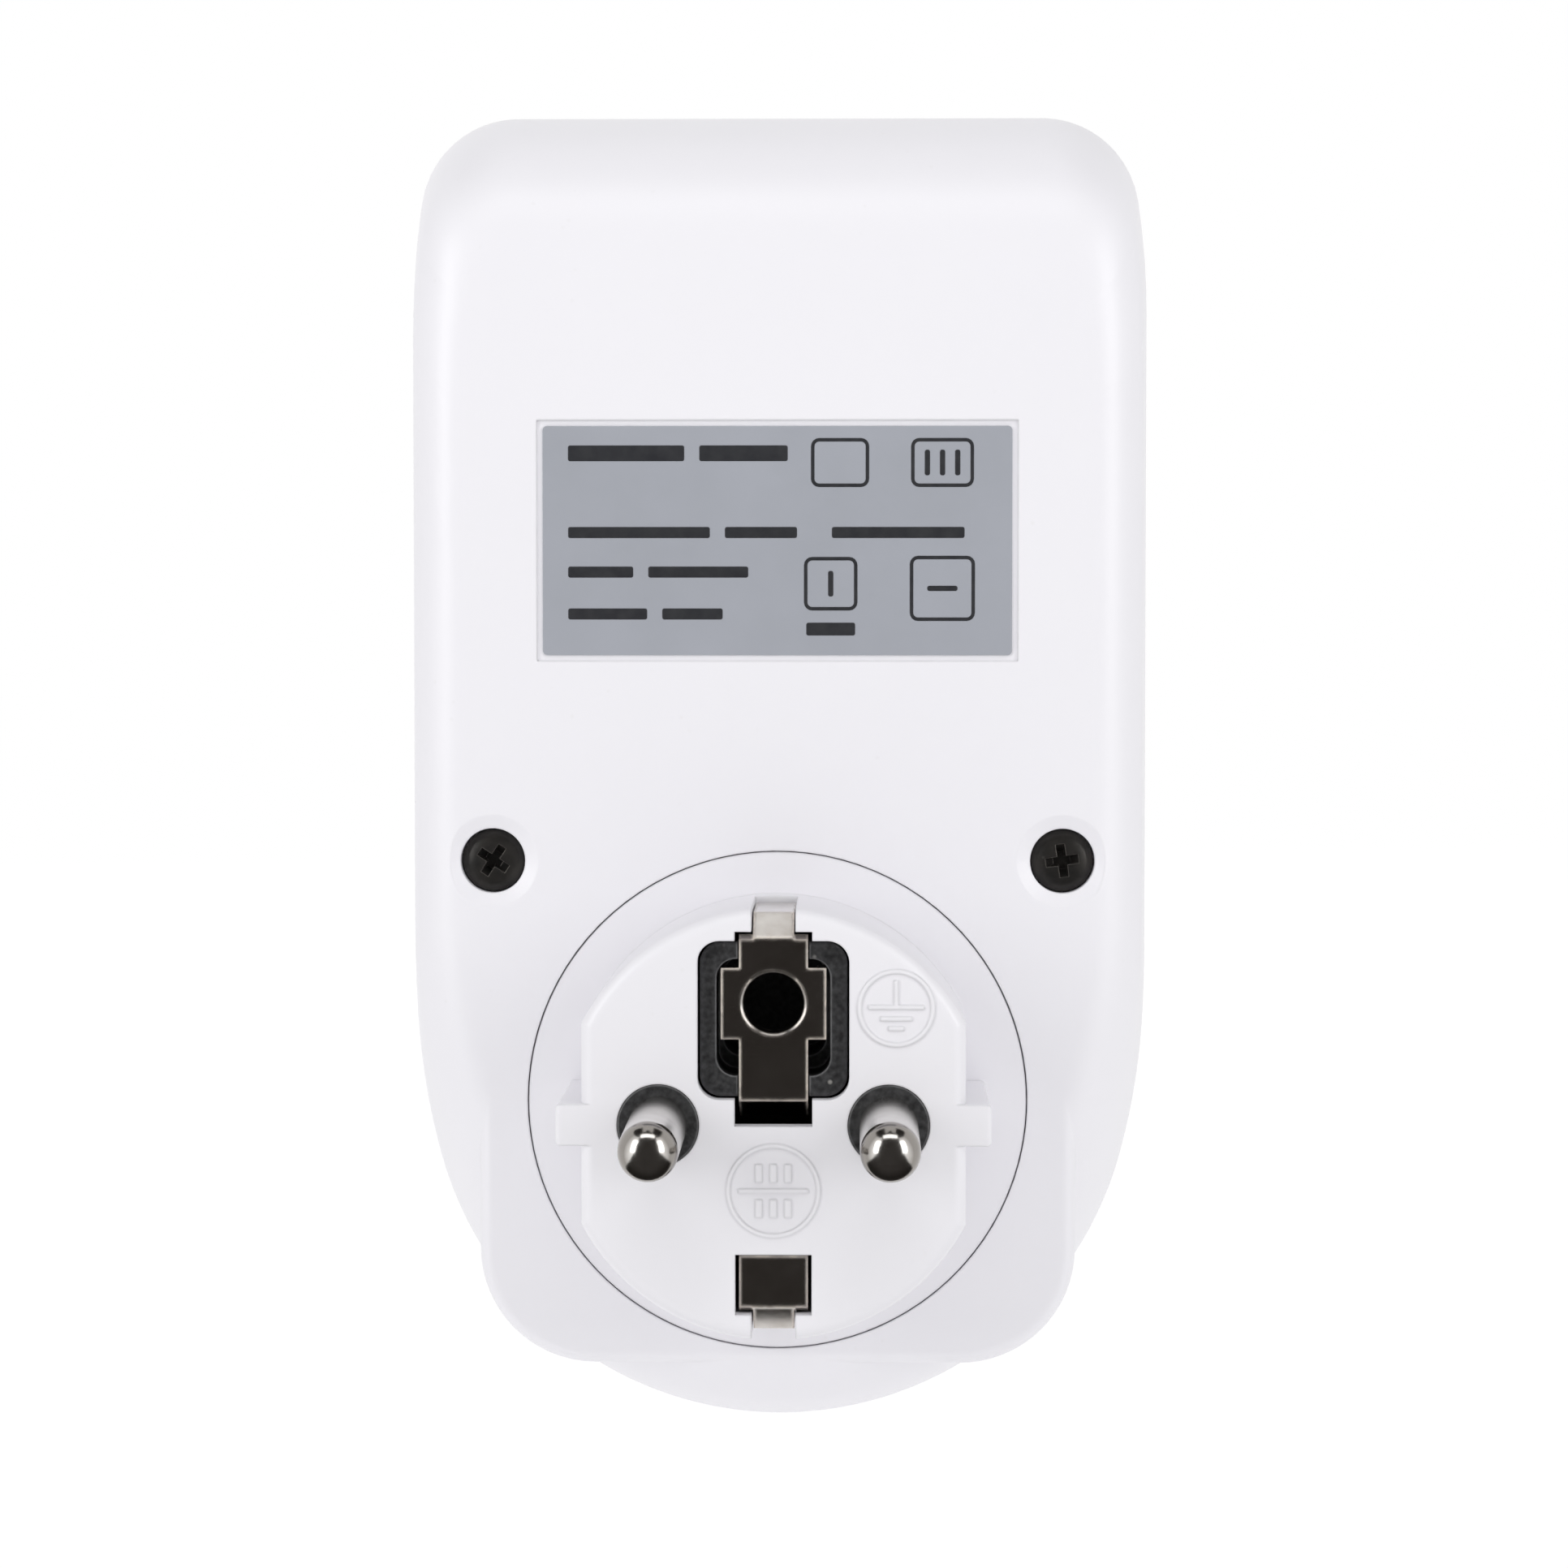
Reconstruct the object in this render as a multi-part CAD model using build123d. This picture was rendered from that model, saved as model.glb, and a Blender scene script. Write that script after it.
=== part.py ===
from build123d import *
import math
import os

# Plug-in timer switch, in millimetres. The origin lies on the plug's axis, in the flat rear face
# of the housing. +Y points out of the rear face along the plug pins, +Z is up, and the display,
# the buttons and the socket face -Y. Y levels are negative inside the housing.

# Clearances
SEAM_GAP = 0.15
SLIDE_GAP = 0.2
LOOSE_GAP = 0.1
SHANK_GAP = 0.05

# Housing outline in X and Z
HALF_WIDTH = 33.0
TOP_Z = 86.15
BOTTOM_Z = -29.7
CORNER_RADIUS = 9.2
FLANK_RADIUS = 60.0
UPPER_FLANK_DROP = 16.9
LOWER_RADIUS = 31.6
WALL = 2.0

# Rear casing: rounded edges, taper towards the rear face, and the block round the plug
PARTING_DEPTH = 20.0
SIDE_ROUND = 4.3
TOP_ROUND = 14.5
LOWER_ROUND_REACH = 8.5
LOWER_ROUND_RUN = 16.0
SIDE_TAPER = 1.6
TOP_TAPER = 0.6
SIDE_ROUND_STEPS = 4
TOP_ROUND_STEPS = 9
BLOCK_SETBACK = 7.2
BLOCK_BOTTOM_Z = -23.0
BLOCK_TOP_Z = 14.0
BLOCK_CORNER = 10.0
BLOCK_DEPTH = 18.0
BLOCK_EDGE = 1.2

# Front casing
FRONT_DEPTH = 40.0
FRONT_EDGE = 3.5
LIP_DEPTH = 1.2
LIP_INSET = 1.1
LIP_STEP = 0.4
LIP_ROOT_HEIGHT = 2.0
COLLAR_HEIGHT = 1.0
COLLAR_WIDTH = 3.0

# Rating label and its recess
LABEL_WIDTH = 40.4
LABEL_HEIGHT = 19.7
LABEL_Z = 48.3
LABEL_THICKNESS = 0.15
LABEL_RECESS_DEPTH = 0.25
LABEL_RECESS_MARGIN = 0.5

# Housing screws and their posts
HOUSING_SCREW_SETBACK = 8.4
HOUSING_SCREW_Z = 20.7
HOUSING_HEAD_RADIUS = 2.7
HOUSING_HEAD_HEIGHT = 2.0
HOUSING_HEAD_TOP = -0.9
HOUSING_SHANK_RADIUS = 1.5
HOUSING_SHANK_LENGTH = 26.0
DISH_RADIUS = 4.0
DISH_DEPTH = 0.5
POST_WALL = 1.6

# Plug pins
PIN_PITCH = 19.0
PIN_RADIUS = 2.4
PIN_LENGTH = 19.0
PIN_DOME = PIN_RADIUS - 0.2
PIN_SHANK_RADIUS = PIN_RADIUS - 0.4
PIN_RING_RADIUS = PIN_RADIUS + 0.95
TUBE_RADIUS = PIN_RING_RADIUS + 0.85
RIVET_RADIUS = PIN_SHANK_RADIUS + 0.8
RIVET_HEIGHT = 0.5

# Plug: flange, boss with side flats and guide ribs
BOSS_HEIGHT = 18.0
BOSS_RADIUS = 17.9
FLANGE_RADIUS = BOSS_RADIUS + 3.6
FLANGE_SINK = 0.15
BOSS_WALL = 1.8
BOSS_FLAT = PIN_PITCH / 2 + TUBE_RADIUS + 0.35 + BOSS_WALL
BOSS_FACE = 2.0
BOSS_EDGE = 1.1
RIB_HALF_WIDTH = 1.7
RIB_REACH = BOSS_RADIUS + 0.05
RETAINER_INNER = BOSS_RADIUS + 1.7
RETAINER_OUTER = FLANGE_RADIUS + 1.9
RETAINER_THICKNESS = 1.5
RETAINER_LOW_Z = BLOCK_BOTTOM_Z + 2.2
EAR_RADIUS = 2.3
EAR_CIRCLE = FLANGE_RADIUS + 3.5
EAR_ANGLES = (69.0, -44.0)

# Earth well, its strip and the side contacts
WELL_WIDTH = 12.5
WELL_LOW_Z = 2.1
WELL_HIGH_Z = 15.2
WELL_CORNER = 1.8
WELL_RIM_SINK = 1.1
WELL_WALL = 1.4
WELL_FLOOR_Y = 2.5
POCKET_LOW_Z = 3.97
POCKET_LEDGE_Z = 5.04
POCKET_LEDGE_Y = 11.0
POCKET_LEDGE = 0.4
POCKET_HIGH_STEP = 0.3
POCKET_CORNER = 1.6
SLOT_WIDTH = 6.4
SLOT_LOW_Z = -0.1
SLOT_HIGH_Z = BOSS_RADIUS - 1.95
NOTCH_WIDTH = 3.64
GROOVE_END_Y = 2.5
WINDOW_WIDTH = 6.3
WINDOW_HIGH_Z = -10.7
WINDOW_LOW_Z = 2.2 - BOSS_RADIUS
STRIP_THICKNESS = 0.8
STRIP_WIDTH = 5.7
STRIP_NECK = 3.4
STRIP_TOP_SINK = 1.0
STRIP_FOOT_Z = 0.7
UPPER_FOLD_Z = 1.78
LOWER_FOOT_Z = -11.3
LOWER_FOLD_Z = WINDOW_LOW_Z + 0.75
BACKING_HIGH_Y = 12.0
WING_REACH = 4.35
WING_LOW_Z = 7.0
WING_HIGH_Z = 12.9
WING_DROP = 3.0
EARTH_HOLE_RADIUS = 2.5
EARTH_HOLE_Z = 10.0
EARTH_COLLAR_WALL = 0.5
EARTH_COLLAR_DEPTH = 1.8
SIDE_CONTACT_Z = BOSS_RADIUS - 0.95
SIDE_CONTACT_END_Y = 3.0

# Raised marks on the plug's face
MARK_HEIGHT = 0.15
MARK_LINE = 0.35
EARTH_MARK_X = -10.1
EARTH_MARK_Z = 9.7
EARTH_MARK_RADIUS = 3.2
RATING_MARK_Z = -5.4
RATING_MARK_RADIUS = 3.9

# Pin carrier inside the boss
CARRIER_GAP = 0.15
CARRIER_BASE_TOP = 0.8
CARRIER_RIM_RADIUS = BOSS_RADIUS - 0.1
CARRIER_RIM_THICKNESS = 0.8
FLANGE_BACK_Y = -WALL - LOOSE_GAP
CARRIER_BACK_Y = FLANGE_BACK_Y - CARRIER_RIM_THICKNESS

# Current-carrying bars, and the levels that they set
BOARD_THICKNESS = 1.6
BAR_THICKNESS = 0.8
BAR_SHANK_MARGIN = 0.5
BAR_HALF_WIDTH = PIN_SHANK_RADIUS + BAR_SHANK_MARGIN
BAR_OUT_X = PIN_PITCH / 2 + 6.9
LINE_IN_ARM_Y = CARRIER_BACK_Y - BAR_THICKNESS - RIVET_HEIGHT - 0.4
POWER_BACK_Y = LINE_IN_ARM_Y - BAR_THICKNESS - 0.6
POWER_FRONT_Y = POWER_BACK_Y - BOARD_THICKNESS
BAR_FRONT_Y = POWER_FRONT_Y - 1.4
BASE_BACK_Y = BAR_FRONT_Y - BAR_THICKNESS
ARM_WIDTH = 4.0
ARM_TOP_Z = 31.0
TAB_PROUD = 0.8
LINE_OUT_ARM_X = 6.5
LINE_OUT_STEP_Z = 24.0
EARTH_BAR_HALF_WIDTH = 2.6
EARTH_LEG_LENGTH = 5.5

# Socket: cup, floor, contacts and earth clips
SOCKET_RADIUS = 19.75
SOCKET_DEPTH = 17.5
SOCKET_WALL = 1.25
SOCKET_FLOOR = 2.0
SOCKET_HOLE_RADIUS = PIN_RADIUS + 0.35
SOCKET_RIB_X = 17.3
SOCKET_RIB_HALF_WIDTH = 2.2
CUP_FLANGE_RADIUS = SOCKET_RADIUS + 5.5
CUP_LOW_Z = BOTTOM_Z + WALL + 0.4
SOCKET_FACE_Y = -FRONT_DEPTH - COLLAR_HEIGHT
FLOOR_FRONT_Y = SOCKET_FACE_Y + SOCKET_DEPTH
FLOOR_BACK_Y = FLOOR_FRONT_Y + SOCKET_FLOOR
AXLE_RADIUS = 1.5
AXLE_LENGTH = 3.2
CLIP_THICKNESS = 0.8
CLIP_WIDTH = 5.2
CLIP_Z = 17.3
CLIP_BULGE_Z = 15.7
CLIP_BULGE_RUN = 7.5
CLIP_END_RUN = 13.5
CLIP_END_STEP = 0.9
INSERT_CIRCLE = SOCKET_RADIUS + 5.85
INSERT_ANGLES = (65.0, -45.0)
INSERT_EAR_RADIUS = 2.6
INSERT_SCREW_RADIUS = 1.2
INSERT_SCREW_LENGTH = 9.0
INSERT_HEAD_RADIUS = 2.1
INSERT_HEAD_HEIGHT = 1.5
INSERT_POST_RADIUS = 3.0

# Shutter and the base that holds the contacts
SHUTTER_RADIUS = 14.5
SHUTTER_THICKNESS = 1.5
SHUTTER_TURN = 40.0
SHUTTER_HOLE_RADIUS = PIN_RADIUS + 0.6
SHUTTER_GAP = 0.2
SHUTTER_BACK_Y = FLOOR_BACK_Y + SHUTTER_GAP + SHUTTER_THICKNESS
BASE_RADIUS = 19.0
BASE_NOTCH_HALF_WIDTH = 3.2
BASE_NOTCH_Z = 15.9
SPRING_POCKET_RADIUS = 5.6
SPRING_POCKET_DEPTH = 2.6
SPRING_RADIUS = 3.4
SPRING_WIRE_RADIUS = 0.35
CONTACT_BORE_RADIUS = PIN_RADIUS + 0.05
CONTACT_WALL = 0.75
BASE_POCKET_RADIUS = CONTACT_BORE_RADIUS + CONTACT_WALL + 0.3
CONTACT_SLIT = 0.9
STUD_RADIUS = 1.5
STUD_POINTS = ((5.5, 12.0), (-5.5, 12.0), (5.5, -12.0), (-5.5, -12.0))

# Display
INNER_FRONT_Y = -FRONT_DEPTH + WALL
DISPLAY_Z = TOP_Z - 20.9
WINDOW_OPENING = (42.0, 21.0)
WINDOW_PLATE = (46.0, 25.0)
WINDOW_CORNER = 2.5
WINDOW_THICKNESS = 1.25
WINDOW_SINK = 0.05
GLASS_SIZE = (50.0, 27.0)
GLASS_THICKNESS = 2.4
GLASS_FRONT_Y = INNER_FRONT_Y + 0.4
GLASS_BACK_Y = GLASS_FRONT_Y + GLASS_THICKNESS
FRAME_WALL = 1.9
CONNECTOR_SIZE = (45.0, 2.0)
CONNECTOR_SPREAD = 11.8

# Control board and what stands on it
CONTROL_HALF_WIDTH = HALF_WIDTH - WALL - 2.0
CONTROL_LOW_Z = 28.2
CONTROL_HIGH_Z = TOP_Z - 5.1
CONTROL_FRONT_Y = INNER_FRONT_Y + 6.0
CONTROL_BACK_Y = CONTROL_FRONT_Y + BOARD_THICKNESS
BOARD_CORNER = 6.0
CONTROL_SCREW_SETBACK = 2.0
CONTROL_SCREW_ROWS = (31.6, 48.0)
CONTROL_SCREW_LENGTH = 5.5
SMALL_SCREW_RADIUS = 0.95
SMALL_HEAD_RADIUS = 1.8
SMALL_HEAD_HEIGHT = 1.2
SMALL_POST_RADIUS = 1.9
SWITCH_SIZE = 6.0
SWITCH_HEIGHT = 3.2
SWITCH_STEM_RADIUS = 1.65
SWITCH_STEM_TOP_Y = CONTROL_FRONT_Y - SWITCH_HEIGHT - 0.4
LAMP_POINT = (13.0, 38.2)
LAMP_RADIUS = 1.5
LAMP_TIP_Y = -FRONT_DEPTH - 0.4
CHIP_POINT = (2.0, 68.0)
CRYSTAL_POINT = (16.0, 70.0)
CELL_POINT = (-15.0, 64.0)
CELL_RADIUS = 7.8
CELL_HEIGHT = 5.4

# Push buttons
BUTTON_ROWS = (43.0, 33.4)
BUTTON_COLUMNS = (-19.5, -6.5, 6.5, 19.5)
BUTTON_NAMES = (
    ("clock_button", "timer_button", "day_button", "hour_button"),
    ("mode_button", "random_button", "recall_button", "minute_button"),
)
BUTTON_SIZE = (9.0, 4.8)
BUTTON_CORNER = 2.2
BUTTON_PROUD = 1.2
BUTTON_EDGE = 0.5
BUTTON_TRAVEL = 0.8
BUTTON_FLANGE = 0.8
BUTTON_FLANGE_THICKNESS = 1.0
BUTTON_SEAT_GAP = 0.1
BUTTON_PLUNGER_END_Y = SWITCH_STEM_TOP_Y - BUTTON_TRAVEL - LOOSE_GAP
RESET_POINT = (0.0, 38.2)
RESET_RADIUS = 1.2
RESET_SINK = 0.3

# Power board and what stands on it
POWER_HALF_WIDTH = HALF_WIDTH - WALL - 4.0
POWER_LOW_Z = 29.0
POWER_HIGH_Z = TOP_Z - 10.9
POWER_CORNER = 3.0
POWER_SCREW_SETBACKS = (2.5, 3.0)
RELAY_BOX = (12.7, 15.7, 29.0)
RELAY_POINT = (10.4, 48.0)
FILM_BOX = (8.5, 14.5, 18.0)
FILM_POINT = (-16.5, 43.0)
ELECTROLYTIC_POINT = (-3.0, 69.0)
ELECTROLYTIC_RADIUS = 5.0
ELECTROLYTIC_HEIGHT = 12.5
VARISTOR_POINT = (-4.0, 40.0)
VARISTOR_RADIUS = 5.0
VARISTOR_THICKNESS = 4.0
LEAD_RADIUS = 0.4
LEAD_REACH = 1.5
FUSE_POINT = (-15.5, 60.0)
FUSE_RADIUS = 1.9
FUSE_LENGTH = 9.0
DIODE_Z = 69.0
DIODE_COLUMNS = (7.0, 11.0, 15.0, 19.0)
DIODE_RADIUS = 1.35
DIODE_LENGTH = 5.2
REGULATOR_POINT = (22.0, 60.0)
REGULATOR_RADIUS = 2.4
HEADER_BOX = (8.0, 6.5, 3.6)
HEADER_POINT = (22.0, 42.0)
HEADER_FLOOR = 1.5
RIBBON_WIDTH = 6.4
RIBBON_THICKNESS = 0.9
RIBBON_BEND = 30.0


def slab(face, back, front):
    """Solid with an X-Z face, from the Y level nearer the rear to the one nearer the front."""
    return extrude(Plane.XZ.offset(-back) * face, amount=back - front)


def disc(radius, x=0.0, z=0.0):
    return Pos(x, z) * Circle(radius)


def panel(size, x=0.0, z=0.0, corner=0.0):
    shape = RectangleRounded(*size, corner) if corner else Rectangle(*size)
    return Pos(x, z) * shape


def panel_between(x_low, x_high, z_low, z_high, corner=0.0):
    size = (x_high - x_low, z_high - z_low)
    return panel(size, (x_low + x_high) / 2, (z_low + z_high) / 2, corner)


def block(x_low, x_high, y_low, y_high, z_low, z_high):
    return slab(panel_between(x_low, x_high, z_low, z_high), y_high, y_low)


def join(shapes):
    whole = None
    for shape in shapes:
        whole = shape if whole is None else whole + shape
    return whole


def group(shapes):
    """Separate solids kept side by side in one node."""
    return Compound(children=[solid for shape in shapes for solid in shape.solids()])


def mirrored(points):
    return points + [(-x, z) for x, z in points]


def on_circle(radius, angles):
    """Points on a circle round the plug's axis, on both sides."""
    turns = [math.radians(angle) for angle in angles]
    return mirrored([(radius * math.cos(turn), radius * math.sin(turn)) for turn in turns])


def screw(point, seat, facing, radii, head_height, length):
    """Pan-head screw along Y. Facing is 1 where the head looks to the rear, -1 to the front."""
    head_radius, shank_radius = radii
    head = slab(disc(head_radius), head_height, 0)
    crown = head.edges().filter_by(GeomType.CIRCLE).sort_by(Axis.Y)[-1]
    head = fillet(crown, head_height * 0.45)
    arm = head_radius * 1.1
    cut_depth = head_height * 0.65
    for size in ((arm, arm * 0.26), (arm * 0.26, arm)):
        head -= slab(panel(size), head_height, head_height - cut_depth)
    tip = slab(disc(shank_radius), 0, -length)
    end = tip.edges().filter_by(GeomType.CIRCLE).sort_by(Axis.Y)[0]
    whole = head + chamfer(end, shank_radius * 0.5)
    turn = Rot(0, 0, 0) if facing > 0 else Rot(0, 0, 180)
    return Pos(point[0], seat, point[1]) * turn * whole


def mitred_band(points, thickness):
    """Closed outline of a bent sheet, seen edge on, from the points along its middle."""
    middle = [Vector(*point) for point in points]
    left, right = [], []
    for index, point in enumerate(middle):
        before = (point - middle[index - 1]).normalized() if index else None
        after = None
        if index < len(middle) - 1:
            after = (middle[index + 1] - point).normalized()
        before = before or after
        after = after or before
        normal = Vector(-before.Y, before.X) + Vector(-after.Y, after.X)
        normal = normal.normalized()
        reach = thickness / 2 / normal.dot(Vector(-before.Y, before.X))
        left.append(point + normal * reach)
        right.append(point - normal * reach)
    return make_face(Polyline(*left, *reversed(right), close=True))


def sheet(points, thickness, width):
    """Bent sheet across X, from the (y, z) points along its middle."""
    return extrude(Plane.YZ * mitred_band(points, thickness), amount=width / 2, both=True)


# ---------------------------------------------------------------------------- housing surfaces


def outline(side=0.0, top=0.0, bottom=0.0):
    """Housing outline, pulled in at the sides, the top and the bottom."""
    half = HALF_WIDTH - side
    flank = FLANK_RADIUS - side
    corner = CORNER_RADIUS - side
    lower = LOWER_RADIUS - bottom
    top_z = TOP_Z - top
    upper_z = TOP_Z - UPPER_FLANK_DROP - (top - side)
    centre_x = half - flank
    upper = math.asin((top_z - corner - upper_z) / (flank - corner))
    corner_x = centre_x + (flank - corner) * math.cos(upper)
    lower_z = BOTTOM_Z + LOWER_RADIUS
    under = math.acos((flank - half) / (flank - lower))
    start_z = lower_z + (flank - lower) * math.sin(under)
    up, down = math.degrees(upper), math.degrees(under)
    edges = [
        Line((-corner_x, top_z), (corner_x, top_z)),
        CenterArc((corner_x, top_z - corner), corner, 90, up - 90),
        CenterArc((centre_x, upper_z), flank, up, -up),
        Line((half, upper_z), (half, start_z)),
        CenterArc((centre_x, start_z), flank, 0, -down),
        CenterArc((0, lower_z), lower, -down, 2 * down - 180),
        CenterArc((-centre_x, start_z), flank, 180 + down, -down),
        Line((-half, start_z), (-half, upper_z)),
        CenterArc((-centre_x, upper_z), flank, 180, -up),
        CenterArc((-corner_x, top_z - corner), corner, 180 - up, up - 90),
    ]
    return make_face(edges)


def rounding(depth, reach, run):
    """How far an elliptical edge pulls in at a depth below the face that it rounds."""
    if depth >= run:
        return 0.0
    return reach * (1 - math.sqrt(1 - ((run - depth) / run) ** 2))


def rear_section(depth, skin):
    """Outline of the rear casing at a depth, a skin below its outer surface."""
    level = depth + skin
    taper = max(0.0, 1 - level / PARTING_DEPTH)
    side = SIDE_ROUND - skin
    top = TOP_ROUND - skin
    pulled = outline(
        side=skin + SIDE_TAPER * taper + rounding(depth, side, side),
        top=skin + TOP_TAPER * taper + rounding(depth, top, top),
        bottom=skin + rounding(depth, LOWER_ROUND_REACH - skin, LOWER_ROUND_RUN - skin),
    )
    return Plane.XZ.offset(level) * pulled


def plug_block(skin, back, front):
    """The block that stands round the plug, a skin below its outer surface."""
    half = HALF_WIDTH - BLOCK_SETBACK - skin
    low = BLOCK_BOTTOM_Z + skin
    corner = BLOCK_CORNER - skin
    shape = panel_between(-half, half, low, BLOCK_TOP_Z, corner)
    body = slab(shape, back, front)
    if skin:
        return body
    rim = body.faces().sort_by(Axis.Y)[-1].edges()
    return fillet(rim, BLOCK_EDGE)


def rounding_depths(run, steps):
    """Depths at even angles round an edge, from its start to its end."""
    return [run * (1 - math.cos(math.pi / 2 * step / steps)) for step in range(steps + 1)]


def rear_body(skin, depth_end):
    """Closed body inside the rear casing's surface, from its rear face to a depth."""
    near = rounding_depths(SIDE_ROUND - skin, SIDE_ROUND_STEPS)
    far = rounding_depths(TOP_ROUND - skin, TOP_ROUND_STEPS)
    depths = near + [depth for depth in far if depth > near[-1] + 0.5] + [depth_end - skin]
    shell = loft([rear_section(depth, skin) for depth in depths])
    return shell + plug_block(skin, -skin, -BLOCK_DEPTH)


def even_outline(inset):
    return outline(inset, inset, inset)


# ---------------------------------------------------------------------------------- rear casing


def ear_points():
    return on_circle(EAR_CIRCLE, EAR_ANGLES)


def insert_points():
    return on_circle(INSERT_CIRCLE, INSERT_ANGLES)


def control_screw_points():
    x = CONTROL_HALF_WIDTH - CONTROL_SCREW_SETBACK
    return mirrored([(x, z) for z in CONTROL_SCREW_ROWS])


def power_screw_points():
    x = POWER_HALF_WIDTH - POWER_SCREW_SETBACKS[0]
    rows = (POWER_LOW_Z + POWER_SCREW_SETBACKS[1], POWER_HIGH_Z - POWER_SCREW_SETBACKS[1])
    return mirrored([(x, z) for z in rows])


def housing_screw_points():
    return mirrored([(HALF_WIDTH - HOUSING_SCREW_SETBACK, HOUSING_SCREW_Z)])


def rear_housing():
    body = rear_body(0.0, PARTING_DEPTH - SEAM_GAP)
    cavity = rear_body(WALL, PARTING_DEPTH)
    shell = body - cavity
    lip_root = -PARTING_DEPTH + LIP_ROOT_HEIGHT
    shell += slab(even_outline(LIP_INSET), lip_root, -PARTING_DEPTH - LIP_DEPTH)
    shell -= slab(even_outline(WALL + LIP_STEP), lip_root, -PARTING_DEPTH - LIP_DEPTH - 1)
    hole = FLANGE_RADIUS + LOOSE_GAP
    seat_y = HOUSING_HEAD_TOP - HOUSING_HEAD_HEIGHT
    bore = HOUSING_HEAD_RADIUS + LOOSE_GAP
    for x, z in housing_screw_points():
        shell += slab(disc(bore + POST_WALL, x, z), -WALL / 2, -PARTING_DEPTH + SEAM_GAP)
    for x, z in ear_points():
        shell -= slab(disc(SMALL_SCREW_RADIUS, x, z), -WALL / 2, -WALL * 2)
    for x, z in power_screw_points():
        shell += slab(disc(SMALL_POST_RADIUS + 0.3, x, z), -WALL / 2, POWER_BACK_Y)
        shell -= slab(disc(SMALL_SCREW_RADIUS + SHANK_GAP, x, z), -WALL, POWER_BACK_Y - 1)
    shell -= slab(disc(hole), 1, -WALL - 1)
    for x, z in housing_screw_points():
        shell -= slab(disc(bore, x, z), 1, seat_y)
        shell -= slab(disc(HOUSING_SHANK_RADIUS + LOOSE_GAP, x, z), 1, -PARTING_DEPTH - 1)
        mouth = Plane.XZ.offset(-DISH_DEPTH) * disc(2 * DISH_RADIUS - bore, x, z)
        shell -= loft([mouth, Plane.XZ.offset(DISH_DEPTH) * disc(bore, x, z)])
    recess = (LABEL_WIDTH + 2 * LABEL_RECESS_MARGIN, LABEL_HEIGHT + 2 * LABEL_RECESS_MARGIN)
    return shell - slab(panel(recess, 0, LABEL_Z), 1, -LABEL_RECESS_DEPTH)


def rating_label():
    back = -LABEL_RECESS_DEPTH
    return slab(panel((LABEL_WIDTH, LABEL_HEIGHT), 0, LABEL_Z, 0.4), back + LABEL_THICKNESS, back)


def housing_screws():
    seat_y = HOUSING_HEAD_TOP - HOUSING_HEAD_HEIGHT
    radii = (HOUSING_HEAD_RADIUS, HOUSING_SHANK_RADIUS)
    return group(
        screw(point, seat_y, 1, radii, HOUSING_HEAD_HEIGHT, HOUSING_SHANK_LENGTH)
        for point in housing_screw_points()
    )


# ----------------------------------------------------------------------------------------- plug


def boss_shape(shrink):
    """Round face of the boss with its two side flats."""
    flat = BOSS_FLAT - shrink
    return Circle(BOSS_RADIUS - shrink) & Rectangle(2 * flat, 4 * BOSS_RADIUS)


def raised_marks():
    """Earth symbol and a ring with plain bars, proud of the boss's face."""
    level = BOSS_HEIGHT + MARK_HEIGHT
    x, z = EARTH_MARK_X, EARTH_MARK_Z
    line = MARK_LINE
    ring = EARTH_MARK_RADIUS
    shapes = [disc(ring, x, z) - disc(ring - line, x, z)]
    shapes.append(panel_between(x - line / 2, x + line / 2, z + 0.25, z + 2.3))
    for half, drop in ((2.3, 0.0), (1.3, 0.95), (0.65, 1.75)):
        shapes.append(panel_between(x - half, x + half, z + 0.25 - drop - line, z + 0.25 - drop))
    ring = RATING_MARK_RADIUS
    z = RATING_MARK_Z
    shapes.append(disc(ring, 0, z) - disc(ring - line, 0, z))
    shapes.append(panel_between(-ring + 1.0, ring - 1.0, z - line / 2, z + line / 2))
    for bar_x in (-1.2, 0.0, 1.2):
        shapes.append(panel_between(bar_x - 0.3, bar_x + 0.3, z + 0.7, z + 2.2))
        shapes.append(panel_between(bar_x - 0.3, bar_x + 0.3, z - 2.2, z - 0.7))
    return [slab(shape, level, BOSS_HEIGHT - MARK_HEIGHT) for shape in shapes]


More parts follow.
